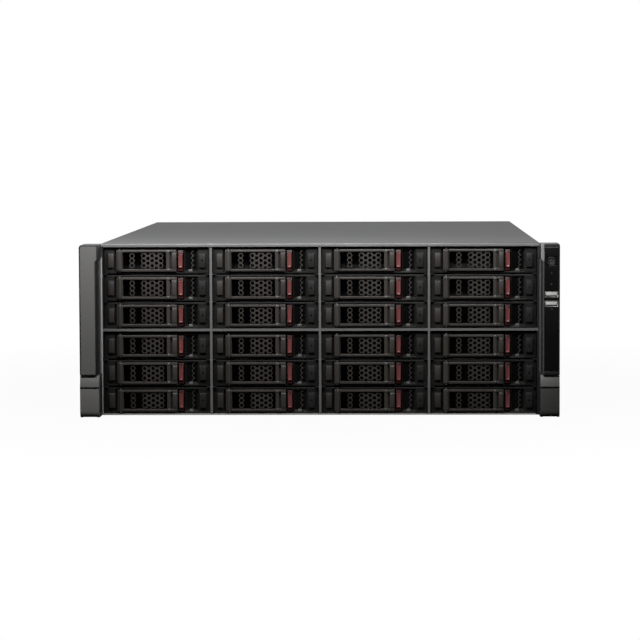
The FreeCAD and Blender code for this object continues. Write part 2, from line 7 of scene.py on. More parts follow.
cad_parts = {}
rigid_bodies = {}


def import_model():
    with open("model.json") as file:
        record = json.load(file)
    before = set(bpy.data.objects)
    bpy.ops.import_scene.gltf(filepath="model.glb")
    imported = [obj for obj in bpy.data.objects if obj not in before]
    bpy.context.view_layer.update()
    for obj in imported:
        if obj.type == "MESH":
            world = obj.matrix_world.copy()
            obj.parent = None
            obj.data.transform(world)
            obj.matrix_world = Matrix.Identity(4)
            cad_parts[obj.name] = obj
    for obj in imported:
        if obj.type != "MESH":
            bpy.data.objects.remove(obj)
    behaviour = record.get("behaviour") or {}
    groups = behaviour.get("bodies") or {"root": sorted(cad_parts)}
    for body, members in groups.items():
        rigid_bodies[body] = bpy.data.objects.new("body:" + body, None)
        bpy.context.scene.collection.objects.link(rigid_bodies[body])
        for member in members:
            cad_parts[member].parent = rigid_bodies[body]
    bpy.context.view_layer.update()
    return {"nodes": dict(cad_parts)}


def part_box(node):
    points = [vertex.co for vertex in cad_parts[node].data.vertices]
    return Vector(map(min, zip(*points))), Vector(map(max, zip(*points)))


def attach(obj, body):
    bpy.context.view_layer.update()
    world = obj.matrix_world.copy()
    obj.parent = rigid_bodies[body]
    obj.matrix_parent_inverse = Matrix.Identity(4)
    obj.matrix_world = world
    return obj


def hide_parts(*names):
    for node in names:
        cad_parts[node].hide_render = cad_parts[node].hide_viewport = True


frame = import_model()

mm = 0.001
scene = bpy.context.scene

# Chassis, drive cage and rack angles
# Folded from zinc-coated steel sheet and riveted; the bare edges of the cage are
# the silver grid between the trays. The rest of the cage and the front edge of the
# right wall are painted near black as shade.
zinc_grey = (0.52, 0.52, 0.51)
edge_bright = (0.195, 0.195, 0.192)
# painted shade: near black for the shaded parts of the cage and the walls
painted_shade_black = (0.025, 0.025, 0.025)
angle_grey = (0.17, 0.17, 0.168)
divider_pitch = 110.8
shelf_height = 87.0
edge_reach = 1.6
shade_band_depth = 5.0
shade_band_width = 3.8
left_reach = 50.0
rolled = (1, 0.04, 1)


def box_of(node):
    """The low and the high corner of a node's box, in millimetres."""
    return [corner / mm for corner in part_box(node)]


def new_finish(name):
    """A node material, its tree, its shader's sockets, and the coordinates that its patterns read."""
    material = bpy.data.materials.new(name)
    material.use_nodes = True
    tree = material.node_tree
    where = tree.nodes.new("ShaderNodeTexCoord")
    return material, tree, tree.nodes["Principled BSDF"].inputs, where.outputs["Object"]


def pattern(tree, where, scale, detail=3.0, stretch=(1, 1, 1)):
    """Noise read at a scale per metre, drawn out along an axis where stretch is small."""
    mapping = tree.nodes.new("ShaderNodeMapping")
    mapping.inputs["Scale"].default_value = stretch
    noise = tree.nodes.new("ShaderNodeTexNoise")
    noise.inputs["Scale"].default_value = scale
    noise.inputs["Detail"].default_value = detail
    tree.links.new(where, mapping.inputs["Vector"])
    tree.links.new(mapping.outputs["Vector"], noise.inputs["Vector"])
    return noise.outputs["Fac"]


def spread(tree, value, low, high, start=0.3, end=0.7):
    """A value brought from one range, for noise its usual middle stretch, to another."""
    span = tree.nodes.new("ShaderNodeMapRange")
    for socket, number in (("From Min", start), ("From Max", end), ("To Min", low), ("To Max", high)):
        span.inputs[socket].default_value = number
    tree.links.new(value, span.inputs["Value"])
    return span.outputs["Result"]


def tinted(tree, value, colour, low, high):
    """A colour made darker and lighter by a pattern."""
    ramp = tree.nodes.new("ShaderNodeValToRGB")
    for stop, place, level in zip(ramp.color_ramp.elements, (0.3, 0.7), (low, high)):
        stop.position = place
        stop.color = [min(1, c * level) for c in colour] + [1]
    tree.links.new(value, ramp.inputs["Fac"])
    return ramp.outputs["Color"]


def raised(tree, value, sockets, height, strength):
    """Surface grain from a pattern, as high as the metres given."""
    bump = tree.nodes.new("ShaderNodeBump")
    bump.inputs["Strength"].default_value = strength
    bump.inputs["Distance"].default_value = height
    tree.links.new(value, bump.inputs["Height"])
    tree.links.new(bump.outputs["Normal"], sockets["Normal"])


def combined(tree, operation, *values):
    """One step of arithmetic in a shader, on sockets and plain numbers."""
    step = tree.nodes.new("ShaderNodeMath")
    step.operation = operation
    for socket, value in zip(step.inputs, values):
        if isinstance(value, float):
            socket.default_value = value
        else:
            tree.links.new(value, socket)
    return step.outputs["Value"]


def sheet_finish(name, colour, rough, stretch=(1, 1, 1), metal=1.0):
    """Metal sheet: faint cloudy patches, rolling marks along one axis and uneven gloss."""
    material, tree, sockets, where = new_finish(name)
    clouds = pattern(tree, where, 24)
    marks = pattern(tree, where, 900, 4, stretch)
    sockets["Metallic"].default_value = metal
    tree.links.new(tinted(tree, clouds, colour, 0.88, 1.1), sockets["Base Color"])
    tree.links.new(spread(tree, marks, rough - 0.07, rough + 0.1), sockets["Roughness"])
    raised(tree, marks, sockets, 0.00003, 0.25)
    return material


def two_tone(name, outside_colour, bright, bands, rough=0.4):
    """Zinc sheet that is bright inside any of the bands (axis, middle, reach) and darker elsewhere; on the
    cage and the walls the darker part is painted shade.
    """
    material, tree, sockets, where = new_finish(name)
    sockets["Metallic"].default_value = 0.5
    sockets["Roughness"].default_value = rough
    parts = tree.nodes.new("ShaderNodeSeparateXYZ")
    tree.links.new(where, parts.inputs["Vector"])
    share = 0.0
    for axis, middle, reach in bands:
        inside = combined(tree, "COMPARE", parts.outputs[axis], middle * mm, reach * mm)
        share = combined(tree, "MAXIMUM", share, inside)
    tone = tree.nodes.new("ShaderNodeMix")
    tone.data_type = "RGBA"
    tone.inputs["A"].default_value = (*outside_colour, 1)
    clouds = pattern(tree, where, 24)
    tree.links.new(tinted(tree, clouds, bright, 0.94, 1.05), tone.inputs["B"])
    tree.links.new(share, tone.inputs["Factor"])
    tree.links.new(tone.outputs["Result"], sockets["Base Color"])
    return material


def coat(piece, *finishes):
    """Give a piece its finishes; its faces start with the first."""
    for finish in finishes:
        piece.data.materials.append(finish)


def dress(node, finish):
    """Give a node of the frame its finish."""
    frame["nodes"][node].data.materials.clear()
    coat(frame["nodes"][node], finish)


tub_low, tub_high = box_of("chassis_tub")
front = tub_low.y
rear = tub_high.y
half = tub_high.x
amid = (front + rear) / 2
zinc = sheet_finish("zinc", zinc_grey, 0.38, rolled, 0.6)
for node in ("psu_cage", "slot_covers", "rear_panel"):
    dress(node, zinc)
left_side = ("X", -half, left_reach)
plates = [("X", k * divider_pitch, edge_reach) for k in (-1, 0, 1)]
shelf = ("Z", shelf_height, edge_reach)
up_to_right_wall = ("X", -half, 2 * half - shade_band_width)
behind_edge = ("Y", amid + shade_band_depth, (rear - front) / 2)
dress("rack_flanges", two_tone("angle_zinc", angle_grey, edge_bright, [left_side]))
# painted shade: the cage is near black except at its divider plates and shelf
dress("drive_cage", two_tone("cage_zinc_and_painted_shade", painted_shade_black, edge_bright, plates + [shelf]))
# painted shade: the tub is near black along the front edge of its right wall
dress("chassis_tub", two_tone("wall_zinc_and_painted_shade", painted_shade_black, zinc_grey, [up_to_right_wall, behind_edge], 0.55))

# Rivets along the side walls
# Domed blind rivets of bright steel that hold the cage, the fan wall and the rear
# panel to the walls, pressed in from outside.
rivet_radius = 2.2
rivet_rise = 0.9
rivet_dome = 0.7
rivet_heights = (24.0, 88.0, 148.0)
rivet_places = (14.0, 96.0, 172.0, 199.0, 236.0, 640.0)
low_rivet_height = 8.0
low_rivet_first = 300.0
low_rivet_step = 40.0
low_rivet_count = 8


def clear():
    """Object mode with nothing selected."""
    if bpy.context.object and bpy.context.object.mode != "OBJECT":
        bpy.ops.object.mode_set(mode="OBJECT")
    bpy.ops.object.select_all(action="DESELECT")


def take(piece):
    """Object mode with one piece selected."""
    clear()
    bpy.context.view_layer.objects.active = piece
    piece.select_set(True)


def settle(name):
    """Name the piece just added and keep its place in its mesh."""
    piece = bpy.context.object
    piece.name = name
    piece.data.name = name
    bpy.ops.object.transform_apply()
    return piece


def block(name, x, y, z):
    """A cube brought to size between two values in millimetres on each axis."""
    clear()
    bpy.ops.mesh.primitive_cube_add(size=1)
    bpy.context.object.location = [(a + b) / 2 * mm for a, b in (x, y, z)]
    bpy.context.object.scale = [(b - a) * mm for a, b in (x, y, z)]
    return settle(name)


def rod(name, axis, centre, radius, start, end, sides):
    """A cylinder along one axis in millimetres; centre holds the other two coordinates."""
    clear()
    middle = list(centre)
    middle.insert("xyz".index(axis), (start + end) / 2)
    turn = {"x": (0, pi / 2, 0), "y": (pi / 2, 0, 0), "z": (0, 0, 0)}[axis]
    bpy.ops.mesh.primitive_cylinder_add(
        vertices=sides, radius=radius * mm, depth=abs(end - start) * mm, rotation=turn,
        location=[c * mm for c in middle])
    return settle(name)


def choose(piece, kind, test):
    """Edit mode with the faces, edges or corners selected whose middle, in millimetres, passes a test."""
    take(piece)
    mesh = piece.data
    for group in (mesh.polygons, mesh.edges, mesh.vertices):
        group.foreach_set("select", [False] * len(group))
    if kind == "FACE":
        for face in mesh.polygons:
            face.select = test(face.center / mm, face.normal)
    elif kind == "EDGE":
        for edge in mesh.edges:
            a, b = (mesh.vertices[k].co for k in edge.vertices)
            edge.select = test((a + b) / 2 / mm, (b - a).normalized())
    else:
        for corner in mesh.vertices:
            corner.select = test(corner.co / mm, corner.normal)
    bpy.ops.object.mode_set(mode="EDIT")
    bpy.ops.mesh.select_mode(type=kind)


def anywhere(place, way):
    """A test that everything passes."""
    return True


def apply_all(piece):
    """Apply every modifier of a piece."""
    take(piece)
    for modifier in list(piece.modifiers):
        bpy.ops.object.modifier_apply(modifier=modifier.name)


def smooth(piece, angle=40):
    """Shade a piece smoothly except across edges sharper than an angle."""
    take(piece)
    bpy.ops.object.shade_smooth_by_angle(angle=radians(angle))


def soften(piece, width, segments=2, angle=40):
    """Round every sharp edge and shade the rounding smoothly."""
    edge = piece.modifiers.new("soft_edge", "BEVEL")
    edge.width = width * mm
    edge.segments = segments
    edge.limit_method = "ANGLE"
    edge.angle_limit = radians(angle)
    apply_all(piece)
    smooth(piece, angle)


def round_edges(piece, radius, segments, test):
    """Round the edges that pass a test."""
    choose(piece, "EDGE", test)
    bpy.ops.mesh.bevel(offset=radius * mm, segments=segments, affect="EDGES")
    clear()


def copied(piece, name, place=(0, 0, 0), turn=None):
    """A copy with its own mesh, turned about the origin and then moved by millimetres."""
    twin = piece.copy()
    twin.data = piece.data.copy()
    twin.name = name
    twin.data.name = name
    twin.data.transform(Matrix.Translation(Vector(place) * mm) @ (turn or Matrix()))
    scene.collection.objects.link(twin)
    return twin


def together(name, pieces):
    """Join pieces into one object."""
    clear()
    for piece in pieces:
        piece.select_set(True)
    bpy.context.view_layer.objects.active = pieces[0]
    bpy.ops.object.join()
    pieces[0].name = name
    pieces[0].data.name = name
    return pieces[0]


def repeated(name, master, places):
    """Copies of a master at each place, in one object; the master is thrown away."""
    pieces = [copied(master, name, place) for place in places]
    bpy.data.objects.remove(master)
    return together(name, pieces)


def fit(piece, body, slot, finish, *nodes):
    """Give a piece its finish, the body it moves with, and the nodes that it stands for; the slot is not
    used.
    """
    if not piece.data.materials:
        coat(piece, finish)
    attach(piece, body)
    if nodes:
        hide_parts(*nodes)


bright_steel = sheet_finish("bright_steel", (0.6, 0.6, 0.6), 0.3)
rivet = rod("rivet", "x", (0, 0), rivet_radius, 0, rivet_rise, 12)
round_edges(rivet, rivet_dome, 3, lambda place, way: place.x > rivet_rise - 0.01)
rivet_spots = [(half, front + y, z) for y in rivet_places for z in rivet_heights]
rivet_spots += [
    (half, front + low_rivet_first + low_rivet_step * k, low_rivet_height) for k in range(low_rivet_count)]
right_rivets = repeated("right_rivets", rivet, rivet_spots)
left_rivets = copied(right_rivets, "left_rivets", (0, front + rear, 0), Matrix.Rotation(pi, 4, "Z"))
for piece in (right_rivets, left_rivets):
    soften(piece, 0.05, 1)
    fit(piece, "chassis", "screw_steel", bright_steel)

# Top cover
# A sheet of steel with a satin grey coat that stands on the walls, with a rail along each
# side; its front edge is folded down into a bare zinc lip.
cover_sheet = 1.0
cover_bend = 1.3
lip_foot = 171.6
cover_grey = (0.109, 0.112, 0.11)
lip_grey = (0.19, 0.19, 0.187)


def facing(normal, side):
    """Whether a normal points along a side such as -y."""
    return normal["xyz".index(side[1])] * (1 if side[0] == "+" else -1) > 0.7


def within(place, x=None, y=None, z=None):
    """Whether a place lies inside the ranges given."""
    return all(r is None or r[0] - 0.01 <= p <= r[1] + 0.01 for p, r in zip(place, (x, y, z)))


def pick(piece, side, **ranges):
    """Select the faces of one side inside the ranges given."""
    choose(piece, "FACE", lambda place, normal: facing(normal, side) and within(place, **ranges))


def along(axis, amount):
    """A step along one axis."""
    return [amount if name == axis else 0 for name in "xyz"]


def push(axis, amount):
    """Extrude what is selected along an axis."""
    bpy.ops.mesh.extrude_region_move(TRANSFORM_OT_translate={"value": along(axis, amount * mm)})


def paint(piece, index):
    """Give the selected faces one of the piece's finishes."""
    piece.active_material_index = index
    bpy.ops.object.material_slot_assign()


def thicken(piece, thick, offset=0):
    """Give an open sheet or net its wall."""
    wall = piece.modifiers.new("wall", "SOLIDIFY")
    wall.thickness = thick * mm
    wall.offset = offset
    apply_all(piece)


def coat_finish(name, colour, rough, grain=1500, height=0.00006, variety=0.06, shine=0.5):
    """Paint or moulded plastic: fine even grain, slight patches in colour and gloss."""
    material, tree, sockets, where = new_finish(name)
    sockets["Specular IOR Level"].default_value = shine
    patches = pattern(tree, where, 16)
    skin = pattern(tree, where, grain, 2)
    tone = tinted(tree, patches, colour, 1 - variety, 1 + variety)
    gloss = spread(tree, patches, rough - variety / 2, rough + variety / 2)
    tree.links.new(tone, sockets["Base Color"])
    tree.links.new(gloss, sockets["Roughness"])
    raised(tree, skin, sockets, height, 0.3)
    return material


def folded_sheet(name, x, y, z, thick, bend, folds):
    """A flat sheet at height z whose named edges are folded down by the depths given, with round bends."""
    clear()
    bpy.ops.mesh.primitive_plane_add(size=1)
    bpy.context.object.location = ((x[0] + x[1]) / 2 * mm, (y[0] + y[1]) / 2 * mm, z * mm)
    bpy.context.object.scale = ((x[1] - x[0]) * mm, (y[1] - y[0]) * mm, 1)
    piece = settle(name)
    borders = {"-x": x[0], "+x": x[1], "-y": y[0], "+y": y[1]}

    def on_border(place, side):
        return place.z > z - 0.01 and abs(place["xyz".index(side[1])] - borders[side]) < 0.01

    for side, depth in folds.items():
        axis = "xyz".index(side[1])
        choose(piece, "EDGE", lambda place, way: on_border(place, side) and abs(way[axis]) < 0.1)
        push("z", -depth)
    round_edges(piece, bend, 4, lambda place, way: any(on_border(place, side) for side in folds))
    thicken(piece, thick, -1)
    return piece


cover_low, cover_high = box_of("top_cover")
cover_lip = cover_high.z - lip_foot
cover_skirt = cover_high.z - cover_low.z
cover_coat = coat_finish("cover_coat", cover_grey, 0.6, 2200, 0.00004, 0.03, 0.12)
lip_zinc = sheet_finish("lip_zinc", lip_grey, 0.38, rolled, 0.6)
cover = folded_sheet(
    "cover_sheet", (cover_low.x, cover_high.x), (cover_low.y, cover_high.y), cover_high.z,
    cover_sheet, cover_bend, {"-y": cover_lip, "-x": cover_skirt, "+x": cover_skirt})
coat(cover, cover_coat, lip_zinc)
pick(cover, "-y", y=(cover_low.y, cover_low.y + 0.1))
paint(cover, 1)
soften(cover, 0.15, 1)
fit(cover, "cover", "cover_steel", cover_coat, "top_cover")

# Tray fronts
# A moulding of warm dark-grey plastic with a sunken face, a raised pad at each end, a bay
# for the lever, a well for the button and a gloss window; two rails behind it carry the disk.
# Round its pads the moulding is painted near black as shade, and a pale block at the foot of
# the gloss window is a painted highlight.
tray_corner, tray_end = box_of("tray_r1c1")
tray_wide = tray_end.x - tray_corner.x
tray_tall = tray_end.z - tray_corner.z
tray_deep = tray_end.y - tray_corner.y
middle = tray_tall / 2
bezel_deep = 14.0
face_depth = 3.0
rim = 1.8
inner = (rim, tray_tall - rim)
pad_heights = (5.8, tray_tall - 5.8)
left_pad = (4.0, 10.4)
right_pad = (96.7, 104.0)
bay = (10.6, 75.0)
bay_depth = 6.5
well = (75.0, 81.6)
well_depth = 12.5
gloss = (82.0, 95.6)
gloss_slope = 1.5
gloss_depth = 6.0
strip_place = 91.6
strip_heights = (rim + 0.4, tray_tall - rim - 0.4)
highlight_span = (85.6, 90.6)
highlight_tall = 2.6
highlight_taper = 0.6
air_window = (19.2, 70.0)
window_heights = (4.6, tray_tall - 4.6)
hinge = (15.9, 3.0)
hinge_pin = 1.25
cell_pitch = 5.0
cell_wall = 0.8
rail_thick = 2.9
rail_tall = 22.0
rail_windows = ((36.0, 62.0), (78.0, 112.0), (128.0, 156.0))
rail_window_heights = (6.0, 16.0)
rail_screws = (52.0, 112.0, 154.0)
rail_screw_height = 19.0
rail_screw_radius = 2.4
tray_grey = (0.027, 0.0238, 0.021)
tray_painted_shade_grey = (0.007, 0.0064, 0.006)
tab_grey = (0.015, 0.015, 0.0145)
black = (0.004, 0.004, 0.0041)


def inset(width, depth=0.0):
    """Inset what is selected, sunk by depth."""
    bpy.ops.mesh.inset(thickness=width * mm, depth=-depth * mm)


def cut_lines(piece, x=(), y=(), z=()):
    """Cut a piece across at places along each axis and take nothing away."""
    choose(piece, "FACE", anywhere)
    for axis, places in zip("xyz", (x, y, z)):
        for place in places:
            bpy.ops.mesh.select_all(action="SELECT")
            bpy.ops.mesh.bisect(plane_co=along(axis, place * mm), plane_no=along(axis, 1))
    clear()


def trim(piece, axis, place, keep):
    """Cut a piece at a place on an axis and keep its high or low side."""
    choose(piece, "FACE", anywhere)
    bpy.ops.mesh.bisect(
        plane_co=along(axis, place * mm), plane_no=along(axis, 1),
        clear_inner=keep == "high", clear_outer=keep == "low")
    clear()


def tunnel(piece, axis, **ranges):
    """Open a way right through between two sides."""
    choose(piece, "FACE", lambda place, n: abs(n["xyz".index(axis)]) > 0.7 and within(place, **ranges))
    bpy.ops.mesh.bridge_edge_loops()
    clear()


def carve(piece, cutter):
    """Take the shape of a cutter out of a piece and throw the cutter away."""
    hole = piece.modifiers.new("hole", "BOOLEAN")
    hole.operation = "DIFFERENCE"
    hole.object = cutter
    apply_all(piece)
    bpy.data.objects.remove(cutter)


def drill(piece, axis, centre, radius, start, end, sides):
    """Cut a round hole."""
    carve(piece, rod("cutter", axis, centre, radius, start, end, sides))


def merge(piece):
    """Make one corner of those that share a place; edit mode stays on."""
    choose(piece, "VERT", anywhere)
    bpy.ops.mesh.remove_doubles(threshold=0.02 * mm)


def finished(piece, finish, width, segments=1):
    """A piece with its edges rounded and its finish on."""
    soften(piece, width, segments)
    coat(piece, finish)
    return piece


def honeycomb(name, columns, count, y, centre, thick, **window):
    """A net of hexagonal cells about a height, every other column half a step up, cut to a window."""
    clear()
    bpy.ops.mesh.primitive_circle_add(
        vertices=6, radius=cell_pitch / 3 ** 0.5 * mm, fill_type="NGON", rotation=(pi / 2, pi / 2, 0))
    cell = settle(name)
    choose(cell, "FACE", anywhere)
    inset(cell_wall)
    bpy.ops.mesh.delete(type="FACE")
    clear()
    places = []
    for number, u in enumerate(columns):
        rows = count + number % 2
        places += [(u, y, centre + (k - (rows - 1) / 2) * cell_pitch) for k in range(rows)]
    net = repeated(name, cell, places)
    merge(net)
    for axis, (low, high) in window.items():
        trim(net, axis, low, "high")
        trim(net, axis, high, "low")
    thicken(net, thick)
    return net


tray_plastic = coat_finish("tray_plastic", tray_grey, 0.42, 1400, 0.00008, 0.1)
# painted shade: the moulding's body round its raised pads is near black
tray_painted_shade = coat_finish("tray_painted_shade", tray_painted_shade_grey, 0.5, 1400, 0.00008, 0.1, 0.3)
tab_plastic = coat_finish("tab_plastic", tab_grey, 0.42, 1400, 0.00008, 0.1, 0.3)
gloss_black = coat_finish("gloss_black", black, 0.12, 300, 0.00001, 0.1, 0.3)
# painted highlight: pale plastic for light on the gloss window's sloped lower lip
painted_highlight_plastic = coat_finish("painted_highlight_plastic", (0.1, 0.1, 0.098), 0.4)

bezel = block("bezel", (0, tray_wide), (face_depth, bezel_deep), (0, tray_tall))
coat(bezel, tray_painted_shade, gloss_black, bright_steel, tray_plastic, tab_plastic)
cut_lines(
    bezel, x=(left_pad[0], bay[0], *air_window, bay[1], well[1], *gloss, *right_pad),
    z=(rim, window_heights[0], *pad_heights, window_heights[1], tray_tall - rim))
for pad, finish in ((left_pad, 3), (right_pad, 4)):
    pick(bezel, "-y", x=pad, z=pad_heights)
    inset(0.5, -face_depth)
    bpy.ops.mesh.select_more()
    paint(bezel, finish)
pick(bezel, "-y", x=(bay[0], well[1]), y=(face_depth, face_depth), z=inner)
push("y", bay_depth - face_depth)
pick(bezel, "-y", x=well, z=inner)
push("y", well_depth - bay_depth)
pick(bezel, "-y", x=gloss, z=inner)
inset(gloss_slope, gloss_depth - face_depth)
paint(bezel, 1)
tunnel(bezel, "y", x=air_window, z=window_heights)
soften(bezel, 0.4)
drill(bezel, "y", (sum(right_pad) / 2, middle), 0.9, -1, 1.8, 12)
strip = honeycomb(
    "strip", [strip_place], 4, face_depth + 1.2, middle, 1.4, x=(gloss[0], strip_place), z=strip_heights)
pin = rod("pin", "z", hinge, hinge_pin, 1.0, tray_tall - 1.0, 16)
rails = []
for x in ((0, rail_thick), (tray_wide - rail_thick, tray_wide)):
    rail = block("rail", x, (bezel_deep, tray_deep), (0, rail_tall))
    cut_lines(rail, y=[y for window in rail_windows for y in window], z=rail_window_heights)
    for window in rail_windows:
        tunnel(rail, "x", y=window, z=rail_window_heights)
    rails.append(finished(rail, tray_plastic, 0.3))
screws = []
for y in rail_screws:
    for x in ((0.1, 2.0), (tray_wide - 2.0, tray_wide - 0.1)):
        screw = rod("screw", "x", (y, rail_screw_height), rail_screw_radius, *x, 12)
        screws.append(finished(screw, bright_steel, 0.25))
# painted highlight: a pale tapered block at the foot of the gloss window stands for light on its sloped
# lower lip
painted_highlight = block("painted_highlight", highlight_span, (face_depth + 0.6, gloss_depth), (rim, rim + highlight_tall))
choose(painted_highlight, "VERT", lambda place, way: place.z > rim + 1)
bpy.ops.transform.resize(value=(highlight_taper, 1, 1), center_override=along("x", sum(highlight_span) / 2 * mm))
finished(painted_highlight, painted_highlight_plastic, 0.3, 2)
coat(pin, bright_steel)
coat(strip, tray_plastic)
bezel = together("bezel", [bezel, strip, pin, painted_highlight] + rails + screws)

# Tray levers
# The handle that pulls a tray out: a plastic frame round a honeycomb that lets air in, with
# a rounded rib over its hinge, a bar at its free end and two steel pins.
lever_span = (12.9, 74.2)
lever_heights = (2.2, tray_tall - 2.2)
lever_thick = 6.0
lever_barrel = 2.8
lever_rib = (14.4, 18.2)
lever_rise = 1.6
lever_window = (19.0, 63.6)
lever_groove = (67.2, 69.2)
groove_depth = 3.5
lever_pins = 65.6
lever_pin_radius = 1.5
web_columns = (28.7,)
net_first = 40.6
net_columns = 5
net_place = 2.6
net_thick = 2.4
net_heights = (window_heights[0] - 0.6, window_heights[1] + 0.6)
column_step = cell_pitch * 3 ** 0.5 / 2
lever_grey = (0.035, 0.0308, 0.0272)
pin_grey = (0.16, 0.16, 0.157)
lever_plastic = coat_finish("lever_plastic", lever_grey, 0.4, 1400, 0.00008, 0.1)
pin_steel = sheet_finish("pin_steel", pin_grey, 0.5)
lever = block("lever", lever_span, (0, lever_thick), lever_heights)
round_edges(
    lever, lever_barrel, 5,
    lambda place, way: abs(way.z) > 0.9 and place.x < lever_span[0] + 0.1 and place.y > 1)
cut_lines(lever, x=(*lever_rib, *lever_window, *lever_groove), z=(*window_heights, *pad_heights))
tunnel(lever, "y", x=lever_window, z=window_heights)
pick(lever, "-y", x=lever_rib)
inset(0.5, -lever_rise)
pick(lever, "-y", x=lever_groove, z=window_heights)
push("y", groove_depth)
pick(lever, "-y", x=(lever_groove[1], lever_span[1]), z=pad_heights)
inset(0.4, -0.7)
finished(lever, lever_plastic, 0.4, 2)
lever_parts = [lever]
for columns in (web_columns, [net_first + k * column_step for k in range(net_columns)]):
    net = honeycomb(
        "net", columns, 3, net_place, middle, net_thick, z=net_heights,
        x=(lever_window[0], lever_window[1] + 0.6))
    coat(net, lever_plastic)
    lever_parts.append(net)
for z in (window_heights[0] - 0.7, window_heights[1] + 0.7):
    head = rod("head", "y", (lever_pins, z), lever_pin_radius, -0.5, 1.0, 16)
    lever_parts.append(finished(head, pin_steel, 0.35, 2))
lever = together("lever", lever_parts)

# Release buttons
# A maroon plastic key at the lever's free end with a dished thumb face; pressing it
# lets the lever spring out. Round its raised face the key is painted dark as shade.
release_span = (75.7, 80.8)
release_heights = (2.8, tray_tall - 2.8)
release_rise = 2.0
release_maroon = (0.148, 0.042, 0.041)
release_painted_shade_colour = (0.035, 0.006, 0.006)
maroon_plastic = coat_finish("maroon_plastic", release_maroon, 0.33, 1400, 0.00005, 0.08)
# painted shade: the key's body and sides round its raised face are dark maroon
maroon_painted_shade = coat_finish("maroon_painted_shade", release_painted_shade_colour, 0.4, 1400, 0.00005, 0.08)
release = block("release", release_span, (1.0, 9.0), release_heights)
coat(release, maroon_painted_shade, maroon_plastic)
cut_lines(release, z=pad_heights)
pick(release, "-y", z=pad_heights)
inset(0.5, -release_rise)
paint(release, 1)
inset(0.6)
inset(0.9, 0.5)
soften(release, 0.25, 2, 25)

# Disk drives
# A 3.5 inch drive between the rails of each tray: cast aluminium body, stamped lid held
# by screws, circuit board underneath.
disk_span = (rail_thick, tray_wide - rail_thick)
disk_deep = (23.6, 170.6)
disk_heights = (0.25, tray_tall - 0.25)
disk_lines = (60.0, 150.0)
disk_foot = 5.0
disk_shoulder = 21.0
disk_hub = (53.3, 98.0)
disk_hub_radius = 20.0
lid_screw_x = (8.0, tray_wide - 8.0)
lid_screw_y = (30.0, 97.0, 164.0)
lid_screw_radius = 2.2
disk_cast = sheet_finish("disk_cast", (0.05, 0.05, 0.052), 0.5)
disk_lid = sheet_finish("disk_lid", (0.42, 0.42, 0.43), 0.42, (1, 0.05, 1))
board_green = coat_finish("board_green", (0.012, 0.06, 0.03), 0.35, 500, 0.00004, 0.3)
disk = block("disk", disk_span, disk_deep, disk_heights)
coat(disk, disk_cast, disk_lid, board_green)
cut_lines(disk, y=disk_lines, z=(disk_foot, disk_shoulder))
pick(disk, "+z")
inset(2.0, 0.6)
inset(1.2, -0.4)
paint(disk, 1)
pick(disk, "-z", y=(disk_lines[0], disk_deep[1]))
inset(3.0, 1.6)
paint(disk, 2)
pick(disk, "+y", z=(disk_heights[0], disk_foot))
inset(0.8, 2.5)
soften(disk, 0.5)
lid_top = disk_heights[1] - 0.05
lid_parts = [rod("hub", "z", disk_hub, disk_hub_radius, disk_heights[1] - 0.4, lid_top, 40)]
for x in lid_screw_x:
    for y in lid_screw_y:
        lid_parts.append(rod("lid_screw", "z", (x, y), lid_screw_radius, disk_heights[1] - 0.6, lid_top, 12))
for piece in lid_parts:
    finished(piece, disk_lid, 0.15)
disk = together("disk", [disk] + lid_parts)

# Trays in their bays
# Every bay of the cage gets a copy of the four plastic and metal pieces above, slid in on its
# rails; the top row's levers and buttons move on their own.
row_count = 6
column_count = 4
bay_names = [
    "r%dc%d" % (row, column) for row in range(1, row_count + 1) for column in range(1, column_count + 1)]
for number, bay_name in enumerate(bay_names):
    node = "tray_" + bay_name
    drawer = "drawer_" + bay_name
    corner = box_of(node)[0]
    place = (corner.x, tray_corner.y, corner.z)
    fit(copied(bezel, "tray_front_" + bay_name, place), drawer, "tray_plastic", tray_plastic, node)
    fit(copied(disk, "disk_" + bay_name, place), drawer, "tray_plastic", disk_cast, node)
    handle = copied(lever, "tray_handle_" + bay_name, place)
    key = copied(release, "tray_release_" + bay_name, place)
    if number < column_count:
        fit(handle, "handle_" + bay_name, "lever_plastic", lever_plastic, "lever_" + bay_name)
        fit(key, "key_" + bay_name, "release_maroon", maroon_plastic, "release_button_" + bay_name)
    else:
        fit(handle, drawer, "lever_plastic", lever_plastic, node)
        fit(key, drawer, "release_maroon", maroon_plastic, node)
for master in (bezel, lever, release, disk):
    bpy.data.objects.remove(master)

# Rack ears
# Moulded handles screwed to the rack angles: a dark body with a finger grip along its inner
# edge; the left one has a satin grey face, the right one a seat for the control strip. On the
# right one the front along the inner edge is painted lighter as light on that edge, lightest above the grip.
ear_low, ear_high = box_of("right_ear")
flap_low, flap_high = box_of("right_ear_flap")
strip_low, strip_high = box_of("control_panel")
power_low, power_high = box_of("power_button")
usb_low, usb_high = box_of("usb_ports")
ear_foot = flap_high.z + 0.6
ear_x = (ear_low.x, ear_high.x)
ear_corner = 3.0
grip_depth = 1.9
grip_top = 160.0
seat_front = ear_low.y + 13.5
screw_x = 465.1 / 2
screw_z = 22.0
screw_well = 6.6
flap_axis = (ear_low.y + 6.4, 7.2)
flap_pin = 1.5
lug_x = (screw_x - 3.0, screw_x + 2.0)
lug_reach = 2.1
power_gap = 0.4
power_well = 11.5
usb_well = 10.5
socket_tall = 5.7
ear_dark = (0.011, 0.011, 0.0115)
ear_satin = (0.1, 0.0985, 0.0965)
